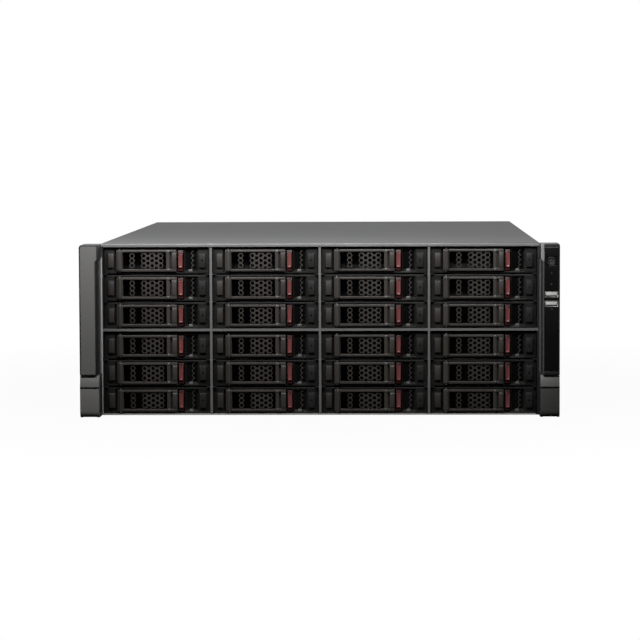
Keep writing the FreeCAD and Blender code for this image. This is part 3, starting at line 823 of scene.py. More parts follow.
# painted light and painted highlight for the right ear's inner edge
edge_light_grey = (0.06, 0.059, 0.058)
edge_highlight_grey = (0.21, 0.208, 0.205)
ear_plastic = coat_finish("ear_plastic", ear_dark, 0.45, 1600, 0.00006)
ear_face = coat_finish("ear_face", ear_satin, 0.4, 1800, 0.00004, 0.03)
ear_painted_light = coat_finish("ear_painted_light", edge_light_grey, 0.4, 1800, 0.00004, 0.03)
ear_painted_highlight = coat_finish("ear_painted_highlight", edge_highlight_grey, 0.4, 1800, 0.00004, 0.03)


def ear_upright(name, wells):
    """The tall part of an ear, with wells sunk into its face at the places given."""
    ear = block(name, ear_x, (ear_low.y, ear_high.y), (ear_foot, ear_high.z))
    across = sorted({round(x, 3) for spot in wells for x in spot[0]})
    up = sorted({round(z, 3) for spot in wells for z in spot[1]} | {grip_top - grip_depth, grip_top})
    cut_lines(ear, x=across, z=up)
    for x, z, depth in wells:
        pick(ear, "-y", x=x, z=z)
        push("y", depth)
    choose(ear, "VERT", lambda place, way: place.x < ear_low.x + 0.1 and place.z < grip_top - 1)
    bpy.ops.transform.translate(value=along("x", grip_depth * mm))

    def top_corner(place, way):
        return abs(way.y) > 0.9 and place.z > ear_high.z - 0.1 and place.x > ear_high.x - 0.1

    round_edges(ear, ear_corner, 5, top_corner)
    soften(ear, 0.6, 3)
    return ear


def ear_seat(name):
    """The low part behind the flap: a well for the rack screw, and the lug and pin of the flap's hinge."""
    seat = block(name, ear_x, (seat_front, ear_high.y), (ear_low.z, ear_foot))
    soften(seat, 0.5)
    drill(seat, "y", (screw_x, screw_z), screw_well, seat_front - 2, ear_high.y + 2, 32)
    lug = block(
        "lug", lug_x, (flap_axis[0] - lug_reach, seat_front + 1),
        (flap_axis[1] - lug_reach, flap_axis[1] + lug_reach))
    round_edges(lug, 1.4, 4, lambda place, way: abs(way.x) > 0.9 and place.y < flap_axis[0])
    pin = rod("pin", "x", flap_axis, flap_pin, ear_low.x + 0.6, ear_high.x - 0.6, 20)
    return together(name, [seat, lug, pin])


def mirrored(piece, name):
    """The left-hand twin of a right-hand piece."""
    twin = copied(piece, name, turn=Matrix.Scale(-1, 4, (1, 0, 0)))
    twin.data.flip_normals()
    return twin


plain_ear = ear_upright("plain_ear", [])
coat(plain_ear, ear_plastic, ear_face)
pick(plain_ear, "-y", y=(ear_low.y, ear_low.y))
inset(0.5)
inset(0.3, 0.3)
paint(plain_ear, 1)
smooth(plain_ear)
left_upright = mirrored(plain_ear, "left_ear_upright")
bpy.data.objects.remove(plain_ear)
usb_x = (usb_low.x, usb_high.x)
usb_heights = ((usb_low.z, usb_low.z + socket_tall), (usb_high.z - socket_tall, usb_high.z))
power_x = (power_low.x - power_gap, power_high.x + power_gap)
power_z = (power_low.z - power_gap, power_high.z + power_gap)
strip_x = (strip_low.x, strip_high.x)
strip_z = (strip_low.z, strip_high.z)
wells = [(strip_x, strip_z, strip_high.y - strip_low.y), (power_x, power_z, power_well)]
wells += [(usb_x, z, usb_well) for z in usb_heights]
right_upright = ear_upright("right_ear_upright", wells)
coat(right_upright, ear_plastic, ear_painted_light, ear_painted_highlight)
edge_x = (ear_low.x, strip_low.x)
edge_y = (ear_low.y, ear_low.y + 0.1)
# painted light: the front of the right ear along its inner edge is lighter, lightest above the grip
for heights, finish in (((ear_foot, grip_top), 1), ((grip_top - 3, ear_high.z), 2)):
    pick(right_upright, "-y", x=edge_x, y=edge_y, z=heights)
    paint(right_upright, finish)
clear()
right_seat = ear_seat("right_ear_seat")
left_seat = mirrored(right_seat, "left_ear_seat")
for piece in (left_upright, left_seat):
    fit(piece, "chassis", "ear_plastic", ear_plastic, "left_ear")
for piece in (right_upright, right_seat):
    fit(piece, "chassis", "ear_plastic", ear_plastic, "right_ear")

# Ear flaps
# A hollow moulded door at the foot of each ear that swings down over the rack screw; a
# groove parts its leaning thumb block from the plain lower part.
thumb_low = flap_high.z - 11.0
thumb_lean = 2.4
groove = (thumb_low - 2.2, thumb_low)
flap_groove = 1.6
flap_foot = 4.0
flap_round = 6.2
flap_wall = 2.5
flap_front = 3.6
clip_radius = 1.55
hollow_x = (ear_low.x + flap_wall, ear_high.x - flap_wall)
beyond_x = (ear_low.x - 1, ear_high.x + 1)
flap_grey = (0.115, 0.113, 0.11)
flap_shade = (0.045, 0.0445, 0.0435)
thumb_grey = (0.12, 0.118, 0.115)
flap_plastic = coat_finish("flap_plastic", flap_grey, 0.42, 1600, 0.00005)
flap_dark = coat_finish("flap_dark", flap_shade, 0.42, 1600, 0.00005)
thumb_plastic = coat_finish("thumb_plastic", thumb_grey, 0.42, 1600, 0.00005)


def flap_toe(place, way):
    """The edge along the foot of the flap's face."""
    return abs(way.x) > 0.9 and place.y < flap_low.y + 0.1 and place.z < flap_low.z + 0.1


flap = block("right_flap_door", ear_x, (flap_low.y, flap_high.y), (flap_low.z, flap_high.z))
cut_lines(flap, z=(flap_axis[1] + 1.0, *groove))
pick(flap, "-y", z=groove)
push("y", flap_groove)
choose(flap, "VERT", lambda place, way: place.y < flap_low.y + 0.1 and place.z > flap_high.z - 0.1)
bpy.ops.transform.translate(value=along("y", thumb_lean * mm))
choose(flap, "VERT", lambda place, way: place.y > flap_high.y - 0.1 and place.z < flap_low.z + 0.1)
bpy.ops.transform.translate(value=along("y", -flap_foot * mm))
round_edges(flap, flap_round, 8, flap_toe)
behind_face = (flap_low.y + flap_front, flap_high.y + 1)
clip_heights = (flap_axis[1] - clip_radius, flap_axis[1] + clip_radius)
carve(flap, block("hollow", hollow_x, behind_face, (-5.0, flap_high.z - flap_wall)))
carve(flap, rod("clip", "x", flap_axis, clip_radius, *beyond_x, 20))
carve(flap, block("mouth", beyond_x, (flap_axis[0], flap_high.y + 1), clip_heights))
soften(flap, 0.35)
left_flap = mirrored(flap, "left_flap_door")
for door, finish in ((left_flap, flap_plastic), (flap, flap_dark)):
    coat(door, finish, thumb_plastic)
    choose(door, "FACE", lambda place, normal: place.z > thumb_low - 0.3)
    paint(door, 1)
clear()
fit(flap, "right_flap", "ear_plastic", flap_dark, "right_ear_flap")
fit(left_flap, "left_flap", "ear_plastic", flap_plastic, "left_ear_flap")

# Rack screws
# Captive thumb screws behind the flaps: a knurled nickel head with a cross recess, a
# washer and a threaded shank that reaches into the rack's post.
screw_low, screw_high = box_of("rack_screws")
screw_spot = (screw_x, screw_z)
angle_face = front - 2.0
washer_face = angle_face - 1.2
washer_radius = 5.4
head_radius = 5.5
knurl_count = 24
cross_reach = 3.2
cross_groove = 0.5
cross_depth = 1.4
shank_radius = 2.1
crest_radius = 2.5
thread_pitch = 0.8
nickel = sheet_finish("nickel", (0.62, 0.61, 0.58), 0.28)


def on_knurl(place, normal):
    """Every second flat round the head."""
    number = Vector((normal.x, normal.z)).angle_signed(Vector((1, 0)), 0) / (pi / knurl_count) - 0.5
    return abs(normal.y) < 0.3 and round(number) % 2 == 0


def cross_recess(head, centre, reach, groove, y):
    """Carve a cross into a screw's head."""
    for wide, tall in ((reach, groove), (groove, reach)):
        x = (centre[0] - wide, centre[0] + wide)
        z = (centre[1] - tall, centre[1] + tall)
        carve(head, block("cross", x, y, z))


head = rod("right_rack_screw", "y", screw_spot, head_radius, screw_low.y, washer_face, 2 * knurl_count)
round_edges(head, 0.5, 2, lambda place, way: place.y < screw_low.y + 0.05 and abs(way.y) < 0.1)
choose(head, "FACE", on_knurl)
bpy.ops.mesh.inset(thickness=0.12 * mm, depth=-0.3 * mm, use_individual=True)
clear()
cross_recess(head, screw_spot, cross_reach, cross_groove, (screw_low.y - 1, screw_low.y + cross_depth))
shank = rod("shank", "y", screw_spot, shank_radius, angle_face, screw_high.y, 20)
washer = rod("washer", "y", screw_spot, washer_radius, washer_face, angle_face, 28)
thread = rod("thread", "y", screw_spot, shank_radius, 0, thread_pitch, 20)
cut_lines(thread, y=(thread_pitch / 2,))
choose(thread, "VERT", lambda place, way: 0.1 < place.y < thread_pitch - 0.1)
bpy.ops.transform.resize(
    value=(crest_radius / shank_radius, 1, crest_radius / shank_radius),
    center_override=(screw_x * mm, thread_pitch / 2 * mm, screw_z * mm))
choose(thread, "FACE", lambda place, normal: abs(normal.y) > 0.9)
bpy.ops.mesh.delete(type="FACE")
clear()
turns = int((screw_high.y - front) / thread_pitch) + 4
threads = repeated("thread", thread, [(0, screw_high.y - (k + 1.4) * thread_pitch, 0) for k in range(turns)])
merge(threads)
bpy.ops.mesh.fill_holes(sides=0)
clear()
rack_screw = together("right_rack_screw", [head, shank, washer, threads])
fit(rack_screw, "chassis", "screw_steel", nickel, "rack_screws")
fit(mirrored(rack_screw, "left_rack_screw"), "chassis", "screw_steel", nickel, "rack_screws")

# Control strip
# A polished black insert clipped into the right ear, with openings for the button and the
# sockets and three small light windows.
light_radius = 0.9
light_heights = (145.9, 134.9, 109.9)
strip_middle = (strip_low.x + strip_high.x) / 2
strip_black = (0.0068, 0.0068, 0.007)
lamp_dark = coat_finish("lamp_dark", (0.03, 0.032, 0.03), 0.2, 500, 0.00001)
panel_gloss = coat_finish("panel_gloss", strip_black, 0.12, 300, 0.00001, 0.1, 0.3)
panel = block("control_strip", strip_x, (strip_low.y, strip_high.y), strip_z)
cut_lines(panel, x=sorted((*usb_x, *power_x)), z=(*usb_heights[0], *usb_heights[1], *power_z))
for x, z in ((power_x, power_z), (usb_x, usb_heights[0]), (usb_x, usb_heights[1])):
    tunnel(panel, "y", x=x, z=z)
panel_parts = [finished(panel, panel_gloss, 0.35, 2)]
for z in light_heights:
    light = rod("light", "y", (strip_middle, z), light_radius, strip_low.y - 0.12, strip_low.y + 1, 14)
    panel_parts.append(finished(light, lamp_dark, 0.1))
fit(together("control_strip", panel_parts), "chassis", "panel_gloss", panel_gloss, "control_panel")

# Power button
# A satin black push key in the strip's upper opening, moulded with a dished face and
# with a raised ring and bar on it.
key_corner = 2.6
ring_radius = 1.5
ring_wire = 0.16
ring_gap = 1.1
power_mid = (power_low + power_high) / 2
key_plastic = coat_finish("key_plastic", (0.015, 0.015, 0.0155), 0.28, 1500, 0.00003)
ring_grey = coat_finish("ring_grey", (0.15, 0.15, 0.15), 0.4)


def wire_ring(name, place, radius, wire, segments):
    """A ring of round wire about the Y axis."""
    clear()
    bpy.ops.mesh.primitive_torus_add(
        major_radius=radius * mm, minor_radius=wire * mm, major_segments=segments, minor_segments=8,
        rotation=(pi / 2, 0, 0), location=[c * mm for c in place])
    return settle(name)


key = block("power_key", *zip(power_low, power_high))
round_edges(key, key_corner, 6, lambda place, way: abs(way.y) > 0.9)
pick(key, "-y")
inset(0.7)
inset(1.2, 0.35)
inset(1.2, 0.15)
soften(key, 0.2, 2, 25)
coat(key, key_plastic)
ring = wire_ring("ring", (power_mid.x, power_low.y + 0.45, power_mid.z), ring_radius, ring_wire, 28)
choose(ring, "FACE", lambda place, normal: place.z > power_mid.z + ring_gap)
bpy.ops.mesh.delete(type="FACE")
bpy.ops.mesh.select_all(action="SELECT")
bpy.ops.mesh.fill_holes(sides=0)
clear()
coat(ring, ring_grey)
bar_x = (power_mid.x - ring_wire, power_mid.x + ring_wire)
bar = block("bar", bar_x, (power_low.y + 0.3, power_low.y + 0.6), (power_mid.z + 0.2, power_mid.z + 1.8))
finished(bar, ring_grey, 0.06)
fit(together("power_key", [key, ring, bar]), "power_key", "key_plastic", key_plastic, "power_button")

# Front sockets
# Two USB sockets set into the ear behind the strip: folded nickel shells round a pale
# plastic tongue with four gilt contacts.
shell_wall = 0.4
shell_back = 1.0
tongue_half = (5.6, 1.6)
contact_count = 4
contact_row = 7.0
contact_half = 0.5
tongue_white = coat_finish("tongue_white", (0.5, 0.5, 0.49), 0.45)
shell_steel = sheet_finish("shell_steel", (0.5, 0.49, 0.48), 0.35, metal=0.5)
gilt = sheet_finish("gilt", (0.75, 0.55, 0.22), 0.25)
shell = block("socket", usb_x, (usb_low.y, usb_high.y), usb_heights[0])
pick(shell, "-y")
inset(shell_wall)
push("y", usb_high.y - usb_low.y - shell_back)
tongue_mid = usb_heights[0][0] + 3.3
tongue = block(
    "tongue", (strip_middle - tongue_half[0], strip_middle + tongue_half[0]),
    (usb_low.y + 0.1, usb_high.y - shell_back), (tongue_mid - tongue_half[1], tongue_mid + tongue_half[1]))
socket_parts = [finished(shell, shell_steel, 0.15), finished(tongue, tongue_white, 0.25, 2)]
contact_y = (usb_low.y + 1.4, usb_high.y - 2)
contact_z = (tongue_mid - 1.72, tongue_mid - 1.5)
for k in range(contact_count):
    x = strip_middle - contact_row / 2 + contact_row * k / (contact_count - 1)
    contact = block("contact", (x - contact_half, x + contact_half), contact_y, contact_z)
    socket_parts.append(finished(contact, gilt, 0.08))
lower_socket = together("lower_front_socket", socket_parts)
upper_socket = copied(lower_socket, "upper_front_socket", (0, 0, usb_heights[1][0] - usb_heights[0][0]))
for piece in (lower_socket, upper_socket):
    fit(piece, "chassis", "connector_steel", nickel, "usb_ports")

# Backplane
# A circuit board across the back of the drive cage, with a socket for each disk, two rows
# of air slots, and chips and cable sockets on its rear side.
plane_low, plane_high = box_of("backplane")
plane_thick = 2.4
plane_front = plane_high.y - plane_thick
plane_rear = plane_high.y - 0.2
slot_rows = (1, 4)
slot_span = (16.0, 90.0)
slot_heights = (10.0, 24.0)
part_rows = (60.0, 118.0)
plane_chips = (-150, -40, 70, 180)
cable_sockets = (-190, -85, 25, 130)
socket_black = coat_finish("socket_black", (0.012, 0.012, 0.013), 0.42, 900, 0.00004)
chip_black = coat_finish("chip_black", (0.018, 0.018, 0.02), 0.5, 1200, 0.00003)


def sink(piece, side, border, slope, depth, **ranges):
    """Leave a border round one side of a piece and sink the rest, down a slope."""
    pick(piece, side, **ranges)
    inset(border)
    inset(slope, depth)


bays = [box_of("tray_" + bay_name)[0] for bay_name in bay_names]
slot_bays = [low for number, low in enumerate(bays) if number // column_count in slot_rows]
slots = [[(low.x + slot_span[0], low.x + slot_span[1]), (low.z + slot_heights[0], low.z + slot_heights[1])]
         for low in slot_bays]
plane = block(
    "backplane_board", (plane_low.x, plane_high.x), (plane_front, plane_high.y), (plane_low.z, plane_high.z))
cut_lines(
    plane, x=[edge for x, z in slots[:column_count] for edge in x],
    z=[edge for x, z in slots[::column_count] for edge in z])
for x, z in slots:
    tunnel(plane, "y", x=x, z=z)
finished(plane, board_green, 0.2)
disk_socket = block("disk_socket", (30.0, 72.0), (plane_low.y, plane_front), (2.0, 8.0))
sink(disk_socket, "-y", 1.4, 0.2, 4.0)
finished(disk_socket, socket_black, 0.25)
plane_chip = block("plane_chip", (-7.0, 7.0), (plane_rear, plane_high.y + 1.6), (-7.0, 7.0))
finished(plane_chip, chip_black, 0.3)
cable_socket = block("cable_socket", (-13.0, 13.0), (plane_rear, plane_high.y + 8.0), (-5.0, 5.0))
sink(cable_socket, "+y", 1.0, 0.2, 6.0)
finished(cable_socket, socket_black, 0.3)
plane_parts = [
    plane, repeated("disk_socket", disk_socket, [(low.x, 0, low.z) for low in bays]),
    repeated("plane_chip", plane_chip, [(x, 0, z) for x in plane_chips for z in part_rows]),
    repeated("cable_socket", cable_socket, [(x, 0, z) for x in cable_sockets for z in part_rows])]
fit(together("backplane_board", plane_parts), "chassis", "circuit_board", board_green, "backplane")

# Fan wall and housings
# A sheet across the chassis carries three fan housings moulded in black plastic; four arms
# at the back of each housing hold its motor.
wall_low, wall_high = box_of("fan_wall")
fan_bore = 57.5
fan_pitch = 140.0
fan_side = 60.0
fan_corner = 7.0
fan_hole = 52.5
fan_hole_radius = 2.2
fan_middle = 88.0
wall_sheet = 1.2
mouth = fan_side - 3.0
motor_plate = 3.0
motor_radius = 20.0
arm_half = 3.0
fan_front = wall_low.y + wall_sheet
fan_rear = wall_high.y - motor_plate
fan_places = [number * fan_pitch for number in (-1, 0, 1)]
mouth_z = (fan_middle - mouth, fan_middle + mouth)
side_z = (fan_middle - fan_side, fan_middle + fan_side)
fan_plastic = coat_finish("fan_plastic", (0.014, 0.014, 0.015), 0.45, 1300, 0.00006)
wall = block("fan_wall_sheet", (wall_low.x, wall_high.x), (wall_low.y, fan_front), (wall_low.z, wall_high.z))
cut_lines(wall, x=[x + way * mouth for x in fan_places for way in (-1, 1)], z=mouth_z)
for x in fan_places:
    tunnel(wall, "y", x=(x - mouth, x + mouth), z=mouth_z)
soften(wall, 0.25, 1)
fit(wall, "chassis", "zinc_steel", zinc, "fan_wall")
housing = block("housing", (-fan_side, fan_side), (fan_front, fan_rear), side_z)
round_edges(housing, fan_corner, 5, lambda place, way: abs(way.y) > 0.9)
soften(housing, 0.5)
drill(housing, "y", (0, fan_middle), fan_bore, fan_front - 1, fan_rear + 1, 64)
for x in (-fan_hole, fan_hole):
    for z in (-fan_hole, fan_hole):
        drill(housing, "y", (x, fan_middle + z), fan_hole_radius, fan_front - 1, fan_rear + 1, 16)
motor_y = (fan_rear, wall_high.y)
motor_parts = [
    rod("motor", "y", (0, fan_middle), motor_radius, *motor_y, 40),
    block("across", (-fan_side, fan_side), motor_y, (fan_middle - arm_half, fan_middle + arm_half)),
    block("upright", (-arm_half, arm_half), motor_y, side_z)]
for piece in motor_parts:
    soften(piece, 0.6)
housing = together("housing", [housing] + motor_parts)
smooth(housing, 35)
for number, x in enumerate(fan_places, 1):
    piece = copied(housing, "fan_housing_%d" % number, (x, 0, 0))
    fit(piece, "chassis", "fan_black", fan_plastic, "fan_wall")
bpy.data.objects.remove(housing)

# Fan rotors
# A hub with a round cap and seven swept blades, moulded in one piece of black plastic and
# pressed on the shaft of the motor behind it.
hub_radius = 21.0
hub_front = fan_front + 3.0
cap_radius = 12.0
cap_front = fan_front + 1.5
blade_tip = 55.5
blade_count = 7
blade_middle = fan_front + 19.0


def fan_blade(name, root, tip, middle_y, lean, arc, sweep, thick):
    """One swept blade along +Z from root to tip; it leans from the front to the rear across its arc."""
    clear()
    bpy.ops.mesh.primitive_grid_add(x_subdivisions=8, y_subdivisions=6, size=2)
    blade = settle(name)
    for corner in blade.data.vertices:
        across = corner.co.x
        share = (corner.co.y + 1) / 2
        radius = root + (tip - root) * share
        angle = arc * across + sweep * share ** 2
        depth = lean * (1 - 0.25 * share)
        y = middle_y - depth * across + 2.0 * (1 - across ** 2)
        corner.co = (radius * sin(angle) * mm, y * mm, radius * cos(angle) * mm)
    thicken(blade, thick)
    return blade


def rotor_of(name, blade):
    """A ring of blades about the Y axis."""
    turns = [Matrix.Rotation(2 * pi * k / blade_count, 4, "Y") for k in range(blade_count)]
    blades = [copied(blade, name, turn=turn) for turn in turns]
    bpy.data.objects.remove(blade)
    return together(name, blades)


hub = rod("rotor", "y", (0, 0), hub_radius, hub_front, fan_rear - 0.4, 48)
round_edges(hub, 2.5, 4, lambda place, way: place.y < hub_front + 0.1 and abs(way.y) < 0.1)
sink(hub, "+y", 2.0, 0.3, 6.0)
cap = rod("cap", "y", (0, 0), cap_radius, cap_front, hub_front + 0.2, 40)
soften(cap, 0.6, 3)
blade = fan_blade("blade", hub_radius - 1.5, blade_tip, blade_middle, 11.0, 0.34, 0.3, 1.5)
rotor = together("rotor", [hub, cap, rotor_of("blades", blade)])
smooth(rotor, 35)
for number, x in enumerate(fan_places, 1):
    piece = copied(rotor, "rotor_blades_%d" % number, (x, 0, fan_middle))
    fit(piece, "rotor_%d" % number, "fan_black", fan_plastic, "fan_rotor_%d" % number)
bpy.data.objects.remove(rotor)

# Main board
# A green circuit board with two processor sockets in steel frames, seven card slots, memory
# sockets, chips, capacitors, a power socket and a coin cell.
board_low, board_end = box_of("main_board")
sink_low, sink_high = box_of("heat_sinks")
stick_low, stick_high = box_of("memory_modules")
board_thick = 1.6
board_top = board_low.z + board_thick
sink_wide = 82.0
sink_places = (sink_low.x + sink_wide / 2, sink_high.x - sink_wide / 2)
socket_y = (sink_low.y + sink_high.y) / 2
socket_half = 30.0
slot_pitch = 20.32
slot_first = -195.0
slot_count = 7
slot_places = [slot_first + number * slot_pitch for number in range(slot_count)]
slot_parts = ((rear - 111.0, rear - 100.0), (rear - 97.0, rear - 23.0))
stick_steps = (50.0, 58.0, 66.0)
stick_places = [x + way * step for x in sink_places for way in (-1, 1) for step in stick_steps]
chip_places = [(-20, rear - 70, 0), (60, rear - 90, 0), (-20, rear - 125, 0)]
chip_half = (-14.0, 14.0)
can_step = 11.0
can_places = [(x - 27 + can_step * k, socket_y + 75.0, 0) for x in sink_places for k in range(6)]
can_tall = 9.0


def on_board(tall):
    """The heights of a part that stands on the board."""
    return (board_top, board_top + tall)


board_x = (board_low.x, board_end.x)
board_y = (board_low.y, board_end.y)
board = block("board_sheet", board_x, board_y, (board_low.z, board_top))
finished(board, board_green, 0.2)
socket_span = (socket_y - socket_half, socket_y + socket_half)
socket_frame = block("socket_frame", (-socket_half, socket_half), socket_span, on_board(4.0))
sink(socket_frame, "+z", 6.0, 0.5, 1.0)
finished(socket_frame, bright_steel, 0.4, 2)
card_slot = block("card_slot", (-3.7, 3.7), (rear - 112.0, rear - 22.0), on_board(11.0))
cut_lines(card_slot, y=(slot_parts[0][1], slot_parts[1][0]))
for span in slot_parts:
    sink(card_slot, "+z", 2.4, 0.1, 8.0, y=span)
finished(card_slot, socket_black, 0.3)
stick_socket = block("stick_socket", (-3.3, 3.3), (stick_low.y - 4.0, stick_high.y + 4.0), on_board(7.0))
finished(stick_socket, socket_black, 0.4, 2)
chip = block("chip", chip_half, chip_half, on_board(2.4))
sink(chip, "+z", 3.0, 0.4, -0.8)
finished(chip, chip_black, 0.3)
can = rod("can", "z", (0, 0), 4.0, *on_board(can_tall), 20)
round_edges(can, 0.6, 2, lambda place, way: place.z > board_top + can_tall - 0.1)
coat(can, bright_steel)
cell = finished(rod("cell", "z", (96.0, rear - 130.0), 10.0, *on_board(3.2), 32), bright_steel, 0.5, 2)
power_socket = block("power_socket", (82.0, 92.0), (rear - 300.0, rear - 246.0), on_board(12.0))
sink(power_socket, "+z", 1.2, 0.2, 8.0)
finished(power_socket, socket_black, 0.3)
board_parts = [
    board, repeated("socket_frame", socket_frame, [(x, 0, 0) for x in sink_places]),
    repeated("card_slot", card_slot, [(x, 0, 0) for x in slot_places]),
    repeated("stick_socket", stick_socket, [(x, 0, 0) for x in stick_places]),
    repeated("chip", chip, chip_places), repeated("can", can, can_places), cell, power_socket]
fit(together("board_sheet", board_parts), "chassis", "circuit_board", board_green, "main_board")

# Heat sinks
# Extruded aluminium on the two processors: a thick base over each socket, with thin fins
# along the air stream.
fin_count = 27
fin_sheet = 0.7
base_thick = 7.0
fin_foot = sink_low.z + base_thick
sink_half = sink_wide / 2
sink_y = (sink_low.y, sink_high.y)
sink_metal = sheet_finish("sink_metal", (0.62, 0.62, 0.63), 0.4, (1, 0.05, 1))
base = block("sink_base", (-sink_half, sink_half), sink_y, (sink_low.z, fin_foot))
soften(base, 0.4, 1)
fin = block("fin", (0, fin_sheet), sink_y, (fin_foot, sink_high.z))
soften(fin, 0.12, 1)
fin_step = (sink_wide - fin_sheet) / (fin_count - 1)
fins = repeated("fins", fin, [(number * fin_step - sink_half, 0, 0) for number in range(fin_count)])
heat_sink = together("sink", [base, fins])
for number, x in enumerate(sink_places, 1):
    piece = copied(heat_sink, "heat_sink_%d" % number, (x, 0, 0))
    fit(piece, "chassis", "sink_aluminium", sink_metal, "heat_sinks")
bpy.data.objects.remove(heat_sink)

# Memory modules
# Twelve sticks beside the processors, pressed into their sockets: a thin green board with
# nine black chips on each face.
stick_half = 0.7
chip_count = 9
chip_margin = 7.0
chip_heights = (stick_low.z + 14.0, stick_low.z + 28.0)
stick = block("stick", (-stick_half, stick_half), (stick_low.y, stick_high.y), (stick_low.z, stick_high.z))
finished(stick, board_green, 0.2)
memory_chip = finished(block("memory_chip", (-2.0, 2.0), (-5.0, 5.0), chip_heights), chip_black, 0.2)
chip_step = (stick_high.y - stick_low.y - 2 * chip_margin) / (chip_count - 1)
chip_spots = [(0, stick_low.y + chip_margin + number * chip_step, 0) for number in range(chip_count)]
stick = together("stick", [stick, repeated("chips", memory_chip, chip_spots)])
sticks = repeated("memory_sticks", stick, [(x, 0, 0) for x in stick_places])
fit(sticks, "chassis", "memory_black", board_green, "memory_modules")

# Rear panel
# A punched sheet at the back: honeycomb air vents, seven card openings closed by slotted
# blanks, and screws round its edge.
panel_sheet = 1.2
vent_top = 162.0
vent_wide = 17.0
vent_columns = 5
vent_groups = ((128.0, range(-200, -60, 25)), (70.0, range(-50, 110, 25)), (108.0, range(125, 200, 25)))
blank_vents = 11
blank_step = 9.0
blank_first = (18.0, 23.0)
blank_vent_x = (-4.5, 4.5)
screw_radius = 2.9
screw_rise = 1.8
columns = [vent_wide / 2 + (k - 2) * column_step for k in range(vent_columns)]
nets = []
for vent_low, places in vent_groups:
    count = int((vent_top - vent_low) / cell_pitch) + 2
    net = honeycomb(
        "net", columns, count, rear - panel_sheet / 2, (vent_low + vent_top) / 2, 0.8,
        x=(0, vent_wide), z=(vent_low, vent_top))
    nets.append(repeated("net", net, [(x, 0, 0) for x in places]))
fit(together("rear_vents", nets), "chassis", "zinc_steel", zinc)
blank = block("blank", (-9.2, 9.2), (rear - 2.2, rear - panel_sheet), (11.0, 121.0))
vents = [[z + number * blank_step for z in blank_first] for number in range(blank_vents)]
cut_lines(blank, x=blank_vent_x, z=[edge for vent in vents for edge in vent])
for vent in vents:
    tunnel(blank, "y", x=blank_vent_x, z=vent)
soften(blank, 0.2, 1)
blanks = repeated("slot_blanks", blank, [(x, 0, 0) for x in slot_places])
fit(blanks, "chassis", "zinc_steel", zinc, "slot_covers")
pan_screw = rod("head", "y", (0, 0), screw_radius, 0, screw_rise, 20)
round_edges(pan_screw, screw_rise * 0.6, 3, lambda place, way: place.y > screw_rise - 0.01)
cross_recess(pan_screw, (0, 0), screw_radius * 0.6, 0.35, (screw_rise * 0.4, screw_rise + 1))
screw_spots = [(way * 217.0, rear, z) for way in (-1, 1) for z in (10.0, 100.0, 168.0)]
screw_spots += [(x, rear, 168.0) for x in (-140.0, -60.0, 60.0, 140.0)]
fit(repeated("panel_screws", pan_screw, screw_spots), "chassis", "screw_steel", bright_steel)

# Rear connectors
# Soldered to the board's edge behind a thin shield: a double USB socket, four network
# jacks, and the screen and serial sockets with their hexagonal nuts.
shield_span = (-42.0, 117.0)
shield_heights = (board_top - 0.4, 54.0)
shield_y = (rear - 1.0, rear - 0.3)
vent_span = (-36.0, 111.0)
vent_heights = (32.0, 48.0)
usb_span = (98.5, 113.0)
usb_inner = (usb_span[0] + 1, usb_span[1] - 1)
usb_tongue = (usb_span[0] + 2.2, usb_span[1] - 2.2)
usb_tall = 15.6
usb_mouth = 5.1
usb_lifts = (1.6, 8.9)
jack_places = (26.5, 44.5, 62.5, 80.5)
jack_wide = 16.0
jack_tall = 13.5
jack_mouth = {"x": (2.1, 13.9), "z": (board_top + 2.0, board_top + 10.6)}
jack_notch = {"x": (5.0, 11.0), "z": (board_top + 10.6, board_top + 12.0)}
jack_contacts = 8
jack_contact_step = 1.02
screen_place = -8.0
serial_place = -40.0
port_wide = 30.8
port_tall = 12.5
port_shell = (6.4, 24.4)
port_lean = 1.2
port_row = 2.3
port_depth = 4.0
behind = (rear - 24.0, rear + 0.6)
tongue_blue = coat_finish("tongue_blue", (0.02, 0.06, 0.26), 0.4)
light_green = coat_finish("light_green", (0.25, 0.42, 0.2), 0.3)
light_amber = coat_finish("light_amber", (0.55, 0.36, 0.1), 0.3)
openings = [(usb_span, on_board(usb_tall))]
openings += [((x, x + jack_wide), on_board(jack_tall)) for x in jack_places]
openings += [((x, x + port_wide), on_board(port_tall)) for x in (screen_place, serial_place)]
openings.append((vent_span, vent_heights))
shield = block("connector_shield", shield_span, shield_y, shield_heights)
cut_lines(
    shield, x=sorted({edge for x, z in openings for edge in x}),
    z=sorted({edge for x, z in openings for edge in z}))
for x, z in openings:
    tunnel(shield, "y", x=x, z=z)
soften(shield, 0.1, 1)
net_count = int((vent_span[1] - vent_span[0]) / column_step) + 2
shield_columns = [vent_span[0] + k * column_step for k in range(net_count)]
shield_net = honeycomb(
    "shield_net", shield_columns, 5, sum(shield_y) / 2, sum(vent_heights) / 2, 0.6,
    x=vent_span, z=vent_heights)
shield = together("connector_shield", [shield, shield_net])
fit(shield, "chassis", "connector_steel", nickel, "io_connectors")
usb_stack = block("rear_usb_stack", usb_span, behind, on_board(usb_tall))
mouths = [(board_top + lift, board_top + lift + usb_mouth) for lift in usb_lifts]
cut_lines(usb_stack, x=usb_inner, z=[z for heights in mouths for z in heights])
usb_parts = [usb_stack]
for heights in mouths:
    pick(usb_stack, "+y", x=usb_inner, z=heights)
    push("y", -10.6)
    tongue_foot = sum(heights) / 2
    tongue = block("tongue", usb_tongue, (rear - 10.2, rear - 0.6), (tongue_foot, tongue_foot + 1.8))
    usb_parts.append(finished(tongue, tongue_blue, 0.2))
finished(usb_stack, nickel, 0.2)
fit(together("rear_usb_stack", usb_parts), "chassis", "connector_steel", nickel, "io_connectors")


def in_jack(place, normal):
    """The rear faces of a network jack's mouth and of the notch for the plug's latch."""
    return normal.y > 0.7 and (within(place, **jack_mouth) or within(place, **jack_notch))


